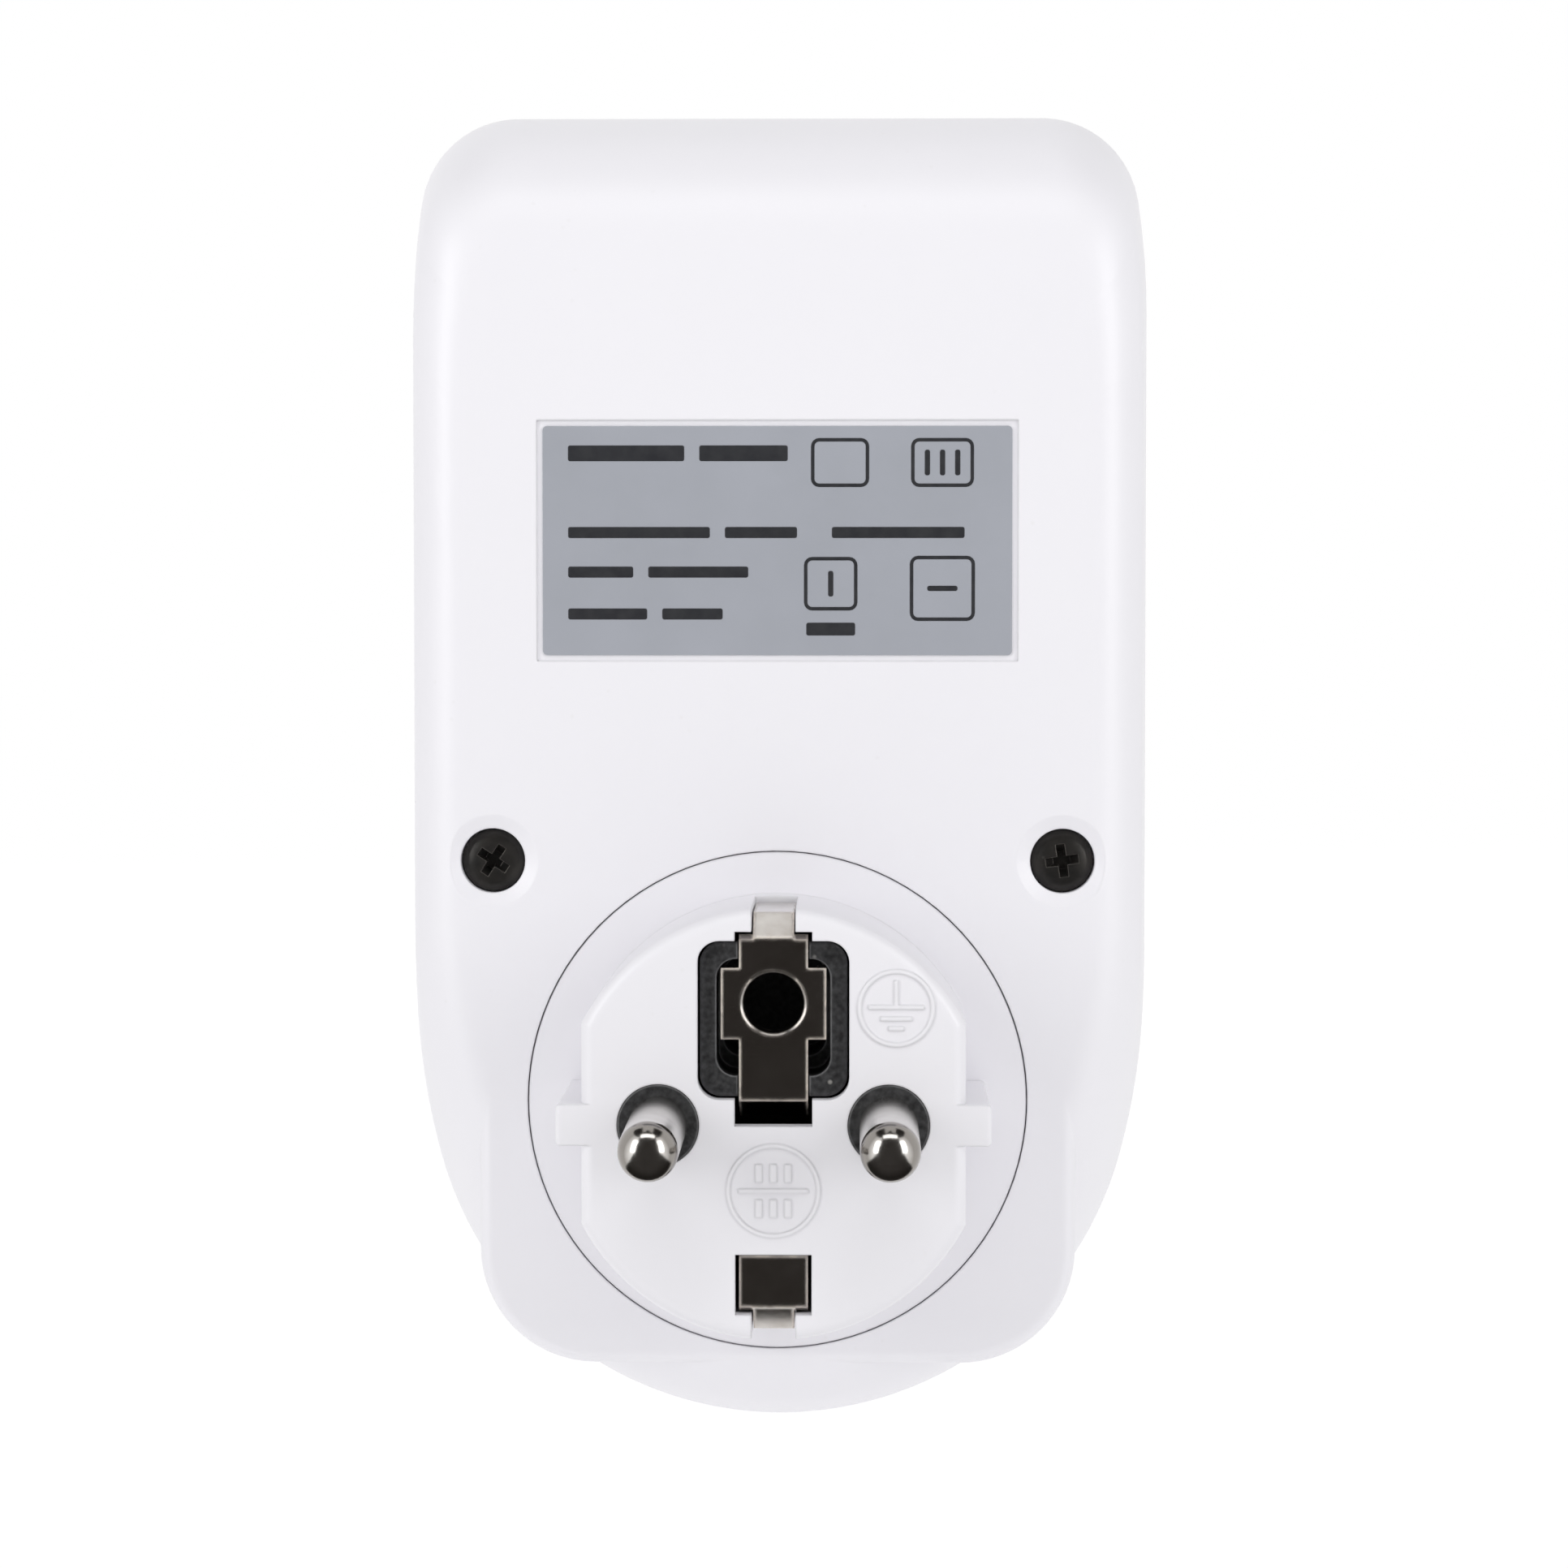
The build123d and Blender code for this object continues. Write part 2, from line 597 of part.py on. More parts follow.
def plug_cover():
    cover = slab(disc(FLANGE_RADIUS), -FLANGE_SINK, FLANGE_BACK_Y)
    keeper = disc(RETAINER_OUTER)
    for x, z in ear_points():
        keeper += disc(EAR_RADIUS, x, z)
    keeper -= disc(RETAINER_INNER)
    keeper -= panel_between(-RETAINER_OUTER / 2, RETAINER_OUTER / 2, -40, RETAINER_LOW_Z)
    cover += slab(keeper, FLANGE_BACK_Y + WALL / 4, FLANGE_BACK_Y - RETAINER_THICKNESS)
    keeper_trim = disc(RETAINER_OUTER + 9) - disc(FLANGE_RADIUS)
    cover -= slab(keeper_trim, 1, FLANGE_BACK_Y)
    boss = slab(boss_shape(0), BOSS_HEIGHT, -FLANGE_SINK - 1)
    boss = fillet(boss.faces().sort_by(Axis.Y)[-1].edges(), BOSS_EDGE)
    for sign in (-1, 1):
        rib = panel_between(0, RIB_REACH, -RIB_HALF_WIDTH, RIB_HALF_WIDTH)
        rib -= panel((2 * BOSS_FLAT - 4, 4 * RIB_HALF_WIDTH))
        solid = slab(rib, BOSS_HEIGHT, -FLANGE_SINK - 1)
        solid = fillet(solid.faces().sort_by(Axis.X)[-1].edges(), 0.4)
        boss += solid if sign > 0 else mirror(solid, about=Plane.YZ)
    cover += boss
    cover -= slab(boss_shape(BOSS_WALL), BOSS_HEIGHT - BOSS_FACE, FLANGE_BACK_Y - 1)
    cuts = [disc(PIN_RING_RADIUS + SHANK_GAP, x) for x in (-PIN_PITCH / 2, PIN_PITCH / 2)]
    half = WELL_WIDTH / 2
    cuts.append(panel_between(-half, half, WELL_LOW_Z, WELL_HIGH_Z, WELL_CORNER))
    cuts.append(panel_between(-SLOT_WIDTH / 2, SLOT_WIDTH / 2, SLOT_LOW_Z, SLOT_HIGH_Z))
    half = WINDOW_WIDTH / 2
    cuts.append(panel_between(-half, half, WINDOW_LOW_Z, WINDOW_HIGH_Z))
    for cut in cuts:
        cover -= slab(cut, BOSS_HEIGHT + 1, BOSS_HEIGHT - BOSS_FACE - 1)
    half = NOTCH_WIDTH / 2
    inner = BOSS_RADIUS - BOSS_WALL - 1
    cover -= block(-half, half, GROOVE_END_Y, BOSS_HEIGHT + 1, inner, BOSS_RADIUS + 1)
    cover -= block(-half, half, GROOVE_END_Y, BOSS_HEIGHT + 1, -BOSS_RADIUS - 1, -inner)
    for x, z in ear_points():
        hole = slab(disc(SMALL_SCREW_RADIUS + SHANK_GAP, x, z), 0, FLANGE_BACK_Y - 5)
        cover -= hole
    return join([cover] + raised_marks())


def plug_screws():
    seat = FLANGE_BACK_Y - RETAINER_THICKNESS
    radii = (SMALL_HEAD_RADIUS, SMALL_SCREW_RADIUS - SHANK_GAP)
    length = -seat - WALL / 2 - SHANK_GAP
    return group(screw(p, seat, -1, radii, SMALL_HEAD_HEIGHT, length) for p in ear_points())


def pin_carrier():
    back = CARRIER_BACK_Y
    shrink = BOSS_WALL + CARRIER_GAP
    underside = BOSS_HEIGHT - BOSS_FACE - LOOSE_GAP
    body = slab(disc(CARRIER_RIM_RADIUS), FLANGE_BACK_Y, back)
    body += slab(boss_shape(shrink), CARRIER_BASE_TOP, FLANGE_BACK_Y)
    for x in (-PIN_PITCH / 2, PIN_PITCH / 2):
        body += slab(disc(TUBE_RADIUS, x), underside, 0)
        body += slab(disc(PIN_RING_RADIUS, x), BOSS_HEIGHT, 0)
    half = WELL_WIDTH / 2 - CARRIER_GAP
    low, high = WELL_LOW_Z + CARRIER_GAP, WELL_HIGH_Z - CARRIER_GAP
    rim_y = BOSS_HEIGHT - WELL_RIM_SINK
    well = slab(panel_between(-half, half, low, high, WELL_CORNER), rim_y, 0)
    rim = well.faces().sort_by(Axis.Y)[-1].edges()
    body += fillet(rim, 0.4)
    strip_back = BOSS_HEIGHT - STRIP_TOP_SINK - STRIP_THICKNESS
    pillar_low = LOWER_FOLD_Z + STRIP_THICKNESS
    half = STRIP_WIDTH / 2
    body += block(-half, half, 0, strip_back - LOOSE_GAP, pillar_low, LOWER_FOOT_Z)
    contact_inner = SIDE_CONTACT_Z - STRIP_THICKNESS / 2 - LOOSE_GAP
    rib_low, rib_high = GROOVE_END_Y + LOOSE_GAP, BACKING_HIGH_Y
    half = STRIP_NECK / 2
    body += block(-half, half, rib_low, rib_high, high - WELL_WALL, contact_inner)
    body += block(-half, half, rib_low, rib_high, -contact_inner, pillar_low + WELL_WALL)
    inner = WELL_WIDTH / 2 - CARRIER_GAP - WELL_WALL
    pocket = panel_between(-inner, inner, POCKET_LOW_Z, high - WELL_WALL, POCKET_CORNER)
    body -= slab(pocket, BOSS_HEIGHT, POCKET_LEDGE_Y)
    inner -= POCKET_LEDGE
    top = high - WELL_WALL - POCKET_HIGH_STEP
    pocket = panel_between(-inner, inner, POCKET_LEDGE_Z, top, POCKET_CORNER)
    body -= slab(pocket, BOSS_HEIGHT, WELL_FLOOR_Y)
    channel = STRIP_WIDTH / 2 + LOOSE_GAP
    body -= block(-channel, channel, strip_back - LOOSE_GAP, BOSS_HEIGHT, 0, BOSS_RADIUS)
    fold_back = strip_back - 1.5 * STRIP_THICKNESS
    for low_z, high_z in ((0, UPPER_FOLD_Z + STRIP_THICKNESS), (WELL_HIGH_Z - 1.0, BOSS_RADIUS)):
        body -= block(-channel, channel, fold_back, BOSS_HEIGHT, low_z, high_z)
    for foot in (STRIP_FOOT_Z, LOWER_FOOT_Z):
        thick = STRIP_THICKNESS / 2 + LOOSE_GAP
        body -= block(-channel, channel, back - 1, BOSS_HEIGHT, foot - thick, foot + thick)
    for x in (-PIN_PITCH / 2, PIN_PITCH / 2):
        body -= slab(disc(PIN_SHANK_RADIUS + SHANK_GAP, x), BOSS_HEIGHT + 1, back - 1)
    return body


def plug_pin(sign):
    """Round pin with a domed tip, a thinner shank through the carrier and a riveted end."""
    x = sign * PIN_PITCH / 2
    rod = slab(disc(PIN_RADIUS, x), BOSS_HEIGHT + PIN_LENGTH, BOSS_HEIGHT)
    tip = rod.edges().filter_by(GeomType.CIRCLE).sort_by(Axis.Y)[-1]
    rod = fillet(tip, PIN_DOME)
    plate_front = CARRIER_BACK_Y - BAR_THICKNESS
    rod += slab(disc(PIN_SHANK_RADIUS, x), BOSS_HEIGHT, plate_front - RIVET_HEIGHT / 2)
    return rod + slab(disc(RIVET_RADIUS, x), plate_front, plate_front - RIVET_HEIGHT)


def upper_earth_clip():
    """Strip across the earth well, with the pin hole, two wings and the upper side contact."""
    top = BOSS_HEIGHT - STRIP_TOP_SINK
    middle = top - STRIP_THICKNESS / 2
    wide = [
        (CARRIER_BACK_Y, STRIP_FOOT_Z),
        (middle - 3.0, STRIP_FOOT_Z),
        (middle, UPPER_FOLD_Z + STRIP_THICKNESS / 2),
        (middle, WELL_HIGH_Z - 0.2),
        (middle - 0.5, WELL_HIGH_Z + 0.1),
    ]
    neck = [
        (middle, EARTH_HOLE_Z + 3.5),
        (middle, WELL_HIGH_Z),
        (middle - 2.2, SIDE_CONTACT_Z),
        (SIDE_CONTACT_END_Y, SIDE_CONTACT_Z),
    ]
    clip = sheet(wide, STRIP_THICKNESS, STRIP_WIDTH) + sheet(neck, STRIP_THICKNESS, STRIP_NECK)
    back = top - STRIP_THICKNESS
    clip += block(-WING_REACH, WING_REACH, back, top, WING_LOW_Z, WING_HIGH_Z)
    for low in (-WING_REACH, WING_REACH - STRIP_THICKNESS):
        high = low + STRIP_THICKNESS
        clip += block(low, high, top - WING_DROP, top - 0.2, WING_LOW_Z, WING_HIGH_Z)
    outer = EARTH_HOLE_RADIUS + EARTH_COLLAR_WALL
    collar_end = back - EARTH_COLLAR_DEPTH
    clip += slab(disc(outer, 0, EARTH_HOLE_Z), top - 0.1, collar_end)
    clip -= slab(disc(EARTH_HOLE_RADIUS, 0, EARTH_HOLE_Z), top + 1, collar_end - 1)
    mouth = clip.edges().filter_by(GeomType.CIRCLE)
    mouth = [e for e in mouth if abs(e.radius - EARTH_HOLE_RADIUS) < 1e-6]
    return fillet(sorted(mouth, key=lambda e: e.center().Y)[-1], 0.3)


def lower_earth_clip():
    """Bent strip in the lower window, with the lower side contact."""
    top = BOSS_HEIGHT - STRIP_TOP_SINK
    middle = top - STRIP_THICKNESS / 2
    wide = [
        (CARRIER_BACK_Y, LOWER_FOOT_Z),
        (middle, LOWER_FOOT_Z),
        (middle, LOWER_FOLD_Z),
        (middle - 0.5, LOWER_FOLD_Z - 0.25),
    ]
    neck = [
        (middle, LOWER_FOOT_Z - 1.0),
        (middle, LOWER_FOLD_Z),
        (middle - 2.2, -SIDE_CONTACT_Z),
        (SIDE_CONTACT_END_Y, -SIDE_CONTACT_Z),
    ]
    return sheet(wide, STRIP_THICKNESS, STRIP_WIDTH) + sheet(neck, STRIP_THICKNESS, STRIP_NECK)


# ------------------------------------------------------------------------- bars and board feeds


def pin_plate(sign):
    """Plate on the carrier's back, under a pin's rivet, out to the bar's leg."""
    back = CARRIER_BACK_Y
    x_low, x_high = sorted((sign * (PIN_PITCH / 2 - 3.2), sign * BAR_OUT_X))
    plate = block(x_low, x_high, back - BAR_THICKNESS, back, -BAR_HALF_WIDTH, BAR_HALF_WIDTH)
    return plate - slab(disc(PIN_SHANK_RADIUS + SHANK_GAP, sign * PIN_PITCH / 2), 1, back - 5)


def leg(sign, y_low, y_high):
    x_low, x_high = sorted((sign * (BAR_OUT_X - BAR_THICKNESS), sign * BAR_OUT_X))
    return block(x_low, x_high, y_low, y_high, -BAR_HALF_WIDTH, BAR_HALF_WIDTH)


def arm(x_middle, y_back, z_low):
    """Upright flat bar that ends in a tab through the power board."""
    half = ARM_WIDTH / 2
    y_front = y_back - BAR_THICKNESS
    return block(x_middle - half, x_middle + half, y_front, y_back, z_low, ARM_TOP_Z)


def board_tab(x_middle, y_low, y_high):
    half = ARM_WIDTH / 2
    return block(x_middle - half, x_middle + half, y_low, y_high, ARM_TOP_Z - BAR_THICKNESS, ARM_TOP_Z)


def arm_x(sign):
    return sign * (BAR_OUT_X - ARM_WIDTH / 2)


def line_in_bar():
    back = CARRIER_BACK_Y
    front = LINE_IN_ARM_Y - BAR_THICKNESS
    tab = board_tab(arm_x(1), POWER_FRONT_Y - TAB_PROUD, LINE_IN_ARM_Y)
    riser = arm(arm_x(1), LINE_IN_ARM_Y, -BAR_HALF_WIDTH)
    return join([pin_plate(1), leg(1, front, back), riser, tab])


def line_out_bar():
    y_back = BAR_FRONT_Y + BAR_THICKNESS
    half = ARM_WIDTH / 2
    riser_x = arm_x(1)
    low = block(riser_x - half, riser_x + half, BAR_FRONT_Y, y_back, -3.0, LINE_OUT_STEP_Z)
    cross = block(
        LINE_OUT_ARM_X - half, riser_x + half, BAR_FRONT_Y, y_back, LINE_OUT_STEP_Z - 4.0, LINE_OUT_STEP_Z
    )
    tab = board_tab(LINE_OUT_ARM_X, BAR_FRONT_Y, POWER_BACK_Y + TAB_PROUD)
    return join([low, cross, arm(LINE_OUT_ARM_X, y_back, LINE_OUT_STEP_Z - 4.0), tab])


def neutral_bar():
    y_back = BAR_FRONT_Y + BAR_THICKNESS
    tab = board_tab(arm_x(-1), BAR_FRONT_Y, POWER_BACK_Y + TAB_PROUD)
    riser = arm(arm_x(-1), y_back, -3.0)
    return join([pin_plate(-1), leg(-1, BAR_FRONT_Y, CARRIER_BACK_Y), riser, tab])


def earth_bar():
    """Plate that joins the plug's earth clips and hooks on to the socket's earth clips."""
    back = CARRIER_BACK_Y
    half = EARTH_BAR_HALF_WIDTH
    reach = CLIP_Z - CLIP_THICKNESS / 2
    plate = block(-half, half, back - BAR_THICKNESS, back, -reach, reach)
    for low in (reach - BAR_THICKNESS, -reach):
        plate += block(-half, half, back - EARTH_LEG_LENGTH, back, low, low + BAR_THICKNESS)
    return plate


# --------------------------------------------------------------------------------------- socket


def socket_insert():
    front, inside, back = SOCKET_FACE_Y, FLOOR_FRONT_Y, FLOOR_BACK_Y
    outer = SOCKET_RADIUS + SOCKET_WALL
    cup = slab(disc(outer), back, front)
    cup -= slab(disc(SOCKET_RADIUS), inside, front - 1)
    for sign in (-1, 1):
        reach = SOCKET_RADIUS + SOCKET_WALL / 2
        x_low, x_high = sorted((sign * SOCKET_RIB_X, sign * reach))
        rib = block(x_low, x_high, front + 1.0, inside, -SOCKET_RIB_HALF_WIDTH, SOCKET_RIB_HALF_WIDTH)
        cup += rib & slab(disc(outer), inside, front)
    flange = disc(CUP_FLANGE_RADIUS) - panel_between(-30, 30, -40, CUP_LOW_Z)
    for x, z in insert_points():
        flange += disc(INSERT_EAR_RADIUS, x, z)
    cup += slab(flange & even_outline(WALL + SEAM_GAP), back, inside)
    for x in (-PIN_PITCH / 2, PIN_PITCH / 2):
        cup -= slab(disc(SOCKET_HOLE_RADIUS, x), back + 1, inside - 1)
    slot_low = CLIP_Z - CLIP_THICKNESS / 2 - LOOSE_GAP
    slot_high = CLIP_Z + CLIP_THICKNESS / 2 + LOOSE_GAP
    half = CLIP_WIDTH / 2 + LOOSE_GAP
    for low, high in ((slot_low, slot_high), (-slot_high, -slot_low)):
        cup -= block(-half, half, inside - 1, back + 1, low, high)
    for x, z in insert_points():
        cup -= slab(disc(INSERT_SCREW_RADIUS + LOOSE_GAP, x, z), back + 1, inside - 1)
    return cup + slab(disc(AXLE_RADIUS), back + AXLE_LENGTH, back - SOCKET_FLOOR / 2)


def insert_screws():
    radii = (INSERT_HEAD_RADIUS, INSERT_SCREW_RADIUS)
    sizes = (INSERT_HEAD_HEIGHT, INSERT_SCREW_LENGTH)
    return group(screw(point, FLOOR_BACK_Y, 1, radii, *sizes) for point in insert_points())


def socket_earth_clip(sign):
    """Spring blade at the recess wall, with a straight leg back to the earth bar."""
    back = CARRIER_BACK_Y - 1.6
    points = [
        (back, sign * CLIP_Z),
        (FLOOR_FRONT_Y - SOCKET_FLOOR / 2, sign * CLIP_Z),
        (FLOOR_FRONT_Y - CLIP_BULGE_RUN, sign * CLIP_BULGE_Z),
        (FLOOR_FRONT_Y - CLIP_END_RUN, sign * (CLIP_Z + CLIP_END_STEP)),
    ]
    return sheet(points, CLIP_THICKNESS, CLIP_WIDTH)


def shutter():
    """Disc that closes the pin holes until it turns."""
    back = FLOOR_BACK_Y
    front_y = back + SHUTTER_GAP
    plate = slab(disc(SHUTTER_RADIUS), front_y + SHUTTER_THICKNESS, front_y)
    plate -= slab(disc(AXLE_RADIUS + SHANK_GAP), front_y + 5, front_y - 5)
    for turn in (SHUTTER_TURN, SHUTTER_TURN + 180):
        angle = math.radians(turn)
        x, z = PIN_PITCH / 2 * math.cos(angle), PIN_PITCH / 2 * math.sin(angle)
        plate -= slab(disc(SHUTTER_HOLE_RADIUS, x, z), front_y + 5, front_y - 5)
    return plate


def shutter_spring():
    """Open wire ring with two legs, round the shutter's axle."""
    middle_y = FLOOR_BACK_Y + SHUTTER_GAP + SHUTTER_THICKNESS + 0.3 + SPRING_WIRE_RADIUS
    profile = Plane.XY * Pos(SPRING_RADIUS, middle_y) * Circle(SPRING_WIRE_RADIUS)
    ring = revolve(profile, axis=Axis.Y, revolution_arc=300)
    wire = Cylinder(SPRING_WIRE_RADIUS, 1.8)
    legs = []
    for turn in (0, 300):
        angle = math.radians(turn)
        reach = SPRING_RADIUS + 0.75
        x, z = reach * math.cos(angle), -reach * math.sin(angle)
        legs.append(Pos(x, middle_y, z) * Rot(0, turn, 0) * Rot(0, 90, 0) * wire)
    return join([ring] + legs)


def contact_base():
    front = FLOOR_BACK_Y
    pocket_end = front + SHUTTER_GAP + SHUTTER_THICKNESS + SHUTTER_GAP
    base = slab(disc(BASE_RADIUS), BASE_BACK_Y, front)
    base -= slab(disc(SHUTTER_RADIUS + 0.4), pocket_end, front - 1)
    base -= slab(disc(SPRING_POCKET_RADIUS), pocket_end + SPRING_POCKET_DEPTH, front)
    base -= slab(disc(AXLE_RADIUS + SHANK_GAP * 2), front + AXLE_LENGTH + 1.5, front)
    for x in (-PIN_PITCH / 2, PIN_PITCH / 2):
        base -= slab(disc(BASE_POCKET_RADIUS, x), BASE_BACK_Y + 1, front)
    half = BASE_NOTCH_HALF_WIDTH
    for low in (BASE_NOTCH_Z, -BASE_RADIUS - 1):
        base -= block(-half, half, front - 1, BASE_BACK_Y + 1, low, low + BASE_RADIUS + 1 - BASE_NOTCH_Z)
    for x, z in STUD_POINTS:
        base += slab(disc(STUD_RADIUS, x, z), CARRIER_BACK_Y, BASE_BACK_Y - 1)
    return base


def socket_contact(sign):
    """Slit sleeve that grips a pin, with a tab for its bar."""
    x = sign * PIN_PITCH / 2
    front = FLOOR_BACK_Y + SHUTTER_GAP + SHUTTER_THICKNESS + SHUTTER_GAP + 0.2
    outer = CONTACT_BORE_RADIUS + CONTACT_WALL
    sleeve = slab(disc(outer, x), BAR_FRONT_Y, front)
    x_low, x_high = sorted((sign * (PIN_PITCH / 2 + 1), sign * BAR_OUT_X))
    sleeve += block(x_low, x_high, BASE_BACK_Y, BAR_FRONT_Y, -2.0, 2.0)
    sleeve -= slab(disc(CONTACT_BORE_RADIUS, x), BAR_FRONT_Y + 1, front - 1)
    x_low, x_high = sorted((sign * (PIN_PITCH / 2 - outer - 1), x))
    slit = CONTACT_SLIT / 2
    return sleeve - block(x_low, x_high, front - 1, BAR_FRONT_Y - 2.5, -slit, slit)


# --------------------------------------------------------------------------------- front casing


def button_points():
    """Each named button's place in X and Z."""
    return {
        name: (x, z)
        for row, z in zip(BUTTON_NAMES, BUTTON_ROWS)
        for name, x in zip(row, BUTTON_COLUMNS)
    }


def front_housing():
    shell = slab(even_outline(0.0), -PARTING_DEPTH, -FRONT_DEPTH)
    shell = fillet(shell.faces().sort_by(Axis.Y)[0].edges(), FRONT_EDGE)
    shell -= slab(even_outline(WALL), -PARTING_DEPTH + 1, INNER_FRONT_Y)
    rebate = even_outline(LIP_INSET - LOOSE_GAP)
    shell -= slab(rebate, -PARTING_DEPTH + 1, -PARTING_DEPTH - LIP_DEPTH - LOOSE_GAP)
    cup = SOCKET_RADIUS + SOCKET_WALL + LOOSE_GAP
    collar = slab(disc(cup + COLLAR_WIDTH), -FRONT_DEPTH + 1, SOCKET_FACE_Y)
    collar = fillet(collar.faces().sort_by(Axis.Y)[0].edges(), COLLAR_HEIGHT * 0.6)
    shell += collar
    for x, z in housing_screw_points():
        shell += slab(disc(4.0, x, z), -PARTING_DEPTH - SEAM_GAP, INNER_FRONT_Y - 0.5)
        end = HOUSING_HEAD_TOP - HOUSING_HEAD_HEIGHT - HOUSING_SHANK_LENGTH
        shell -= slab(disc(HOUSING_SHANK_RADIUS + SHANK_GAP, x, z), 0, end - 1)
    for x, z in insert_points():
        shell += slab(disc(INSERT_POST_RADIUS, x, z), FLOOR_FRONT_Y, INNER_FRONT_Y - 0.5)
        end = FLOOR_BACK_Y - INSERT_SCREW_LENGTH
        shell -= slab(disc(INSERT_SCREW_RADIUS + SHANK_GAP, x, z), 0, end - 1)
    for x, z in control_screw_points():
        shell += slab(disc(SMALL_POST_RADIUS, x, z), CONTROL_FRONT_Y, INNER_FRONT_Y - 0.5)
        shell -= slab(disc(SMALL_SCREW_RADIUS, x, z), 0, CONTROL_FRONT_Y - 4.5)
    shell -= slab(disc(cup), 0, -FRONT_DEPTH - 5)
    shell -= slab(panel(WINDOW_OPENING, 0, DISPLAY_Z, 1.5), 0, -FRONT_DEPTH - 1)
    plate = (WINDOW_PLATE[0] + 2 * LOOSE_GAP, WINDOW_PLATE[1] + 2 * LOOSE_GAP)
    ledge_y = -FRONT_DEPTH + WINDOW_SINK + WINDOW_THICKNESS
    shell -= slab(panel(plate, 0, DISPLAY_Z, WINDOW_CORNER), ledge_y, -FRONT_DEPTH - 1)
    hole = (BUTTON_SIZE[0] + 2 * SLIDE_GAP, BUTTON_SIZE[1] + 2 * SLIDE_GAP)
    for x, z in button_points().values():
        shell -= slab(panel(hole, x, z, BUTTON_CORNER + SLIDE_GAP), 0, -FRONT_DEPTH - 1)
    shell -= slab(disc(RESET_RADIUS + SLIDE_GAP, *RESET_POINT), 0, -FRONT_DEPTH - 1)
    return shell - slab(disc(LAMP_RADIUS + LOOSE_GAP, *LAMP_POINT), 0, -FRONT_DEPTH - 1)


def display_window():
    back = -FRONT_DEPTH + WINDOW_SINK + WINDOW_THICKNESS
    face = panel(WINDOW_PLATE, 0, DISPLAY_Z, WINDOW_CORNER - LOOSE_GAP)
    plate = slab(face, back, back - WINDOW_THICKNESS)
    return chamfer(plate.faces().sort_by(Axis.Y)[0].edges(), 0.2)


def push_button(point):
    """Cap with a flange behind the casing wall and a plunger for its switch."""
    flange_front = INNER_FRONT_Y + BUTTON_SEAT_GAP
    flange_back = flange_front + BUTTON_FLANGE_THICKNESS
    cap = slab(panel(BUTTON_SIZE, *point, BUTTON_CORNER), flange_back, -FRONT_DEPTH - BUTTON_PROUD)
    cap = fillet(cap.faces().sort_by(Axis.Y)[0].edges(), BUTTON_EDGE)
    size = (BUTTON_SIZE[0] + 2 * BUTTON_FLANGE, BUTTON_SIZE[1] + 2 * BUTTON_FLANGE)
    cap += slab(panel(size, *point, BUTTON_CORNER + BUTTON_FLANGE), flange_back, flange_front)
    return cap + slab(disc(SWITCH_STEM_RADIUS, *point), BUTTON_PLUNGER_END_Y, flange_back - 0.2)


def reset_button():
    flange_front = INNER_FRONT_Y + BUTTON_SEAT_GAP
    flange_back = flange_front + BUTTON_FLANGE_THICKNESS
    cap = slab(disc(RESET_RADIUS, *RESET_POINT), flange_back, -FRONT_DEPTH + RESET_SINK)
    cap = fillet(cap.faces().sort_by(Axis.Y)[0].edges(), 0.3)
    cap += slab(disc(RESET_RADIUS + BUTTON_FLANGE, *RESET_POINT), flange_back, flange_front)
    stem = slab(disc(RESET_RADIUS * 0.8, *RESET_POINT), BUTTON_PLUNGER_END_Y, flange_back - 0.2)
    return cap + stem


# -------------------------------------------------------------------- display and control board


def lcd_glass():
    return slab(panel(GLASS_SIZE, 0, DISPLAY_Z), GLASS_FRONT_Y + GLASS_THICKNESS, GLASS_FRONT_Y)


def connector_panels():
    for side in (-1, 1):
        yield panel(CONNECTOR_SIZE, 0, DISPLAY_Z + side * CONNECTOR_SPREAD)


def lcd_frame():
    """Holder round the display glass, which stands on the control board."""
    outer = (GLASS_SIZE[0] + 2 * FRAME_WALL, GLASS_SIZE[1] + 2 * FRAME_WALL)
    pocket = (GLASS_SIZE[0] + 2 * LOOSE_GAP, GLASS_SIZE[1] + 2 * LOOSE_GAP)
    frame = slab(panel(outer, 0, DISPLAY_Z, 1.0), CONTROL_FRONT_Y, GLASS_FRONT_Y + 0.4)
    frame -= slab(panel(pocket, 0, DISPLAY_Z), GLASS_BACK_Y, GLASS_FRONT_Y - 1)
    middle = (GLASS_SIZE[0] - 5.0, 2 * CONNECTOR_SPREAD - CONNECTOR_SIZE[1] - 2.4)
    frame -= slab(panel(middle, 0, DISPLAY_Z), 0, GLASS_FRONT_Y)
    slot = (CONNECTOR_SIZE[0] + 2 * LOOSE_GAP, CONNECTOR_SIZE[1] + 2 * LOOSE_GAP)
    for side in (-1, 1):
        frame -= slab(panel(slot, 0, DISPLAY_Z + side * CONNECTOR_SPREAD), 0, GLASS_FRONT_Y)
    return frame


def lcd_connectors():
    return group(slab(face, CONTROL_FRONT_Y, GLASS_BACK_Y) for face in connector_panels())


def control_board():
    half = CONTROL_HALF_WIDTH
    shape = panel_between(-half, half, CONTROL_LOW_Z, CONTROL_HIGH_Z, BOARD_CORNER)
    board = slab(shape, CONTROL_BACK_Y, CONTROL_FRONT_Y)
    for x, z in control_screw_points():
        board -= slab(disc(SMALL_SCREW_RADIUS + LOOSE_GAP, x, z), 0, -FRONT_DEPTH)
    return board


def control_board_screws():
    radii = (SMALL_HEAD_RADIUS - 0.3, SMALL_SCREW_RADIUS - SHANK_GAP)
    return group(
        screw(p, CONTROL_BACK_Y, 1, radii, SMALL_HEAD_HEIGHT, CONTROL_SCREW_LENGTH)
        for p in control_screw_points()
    )


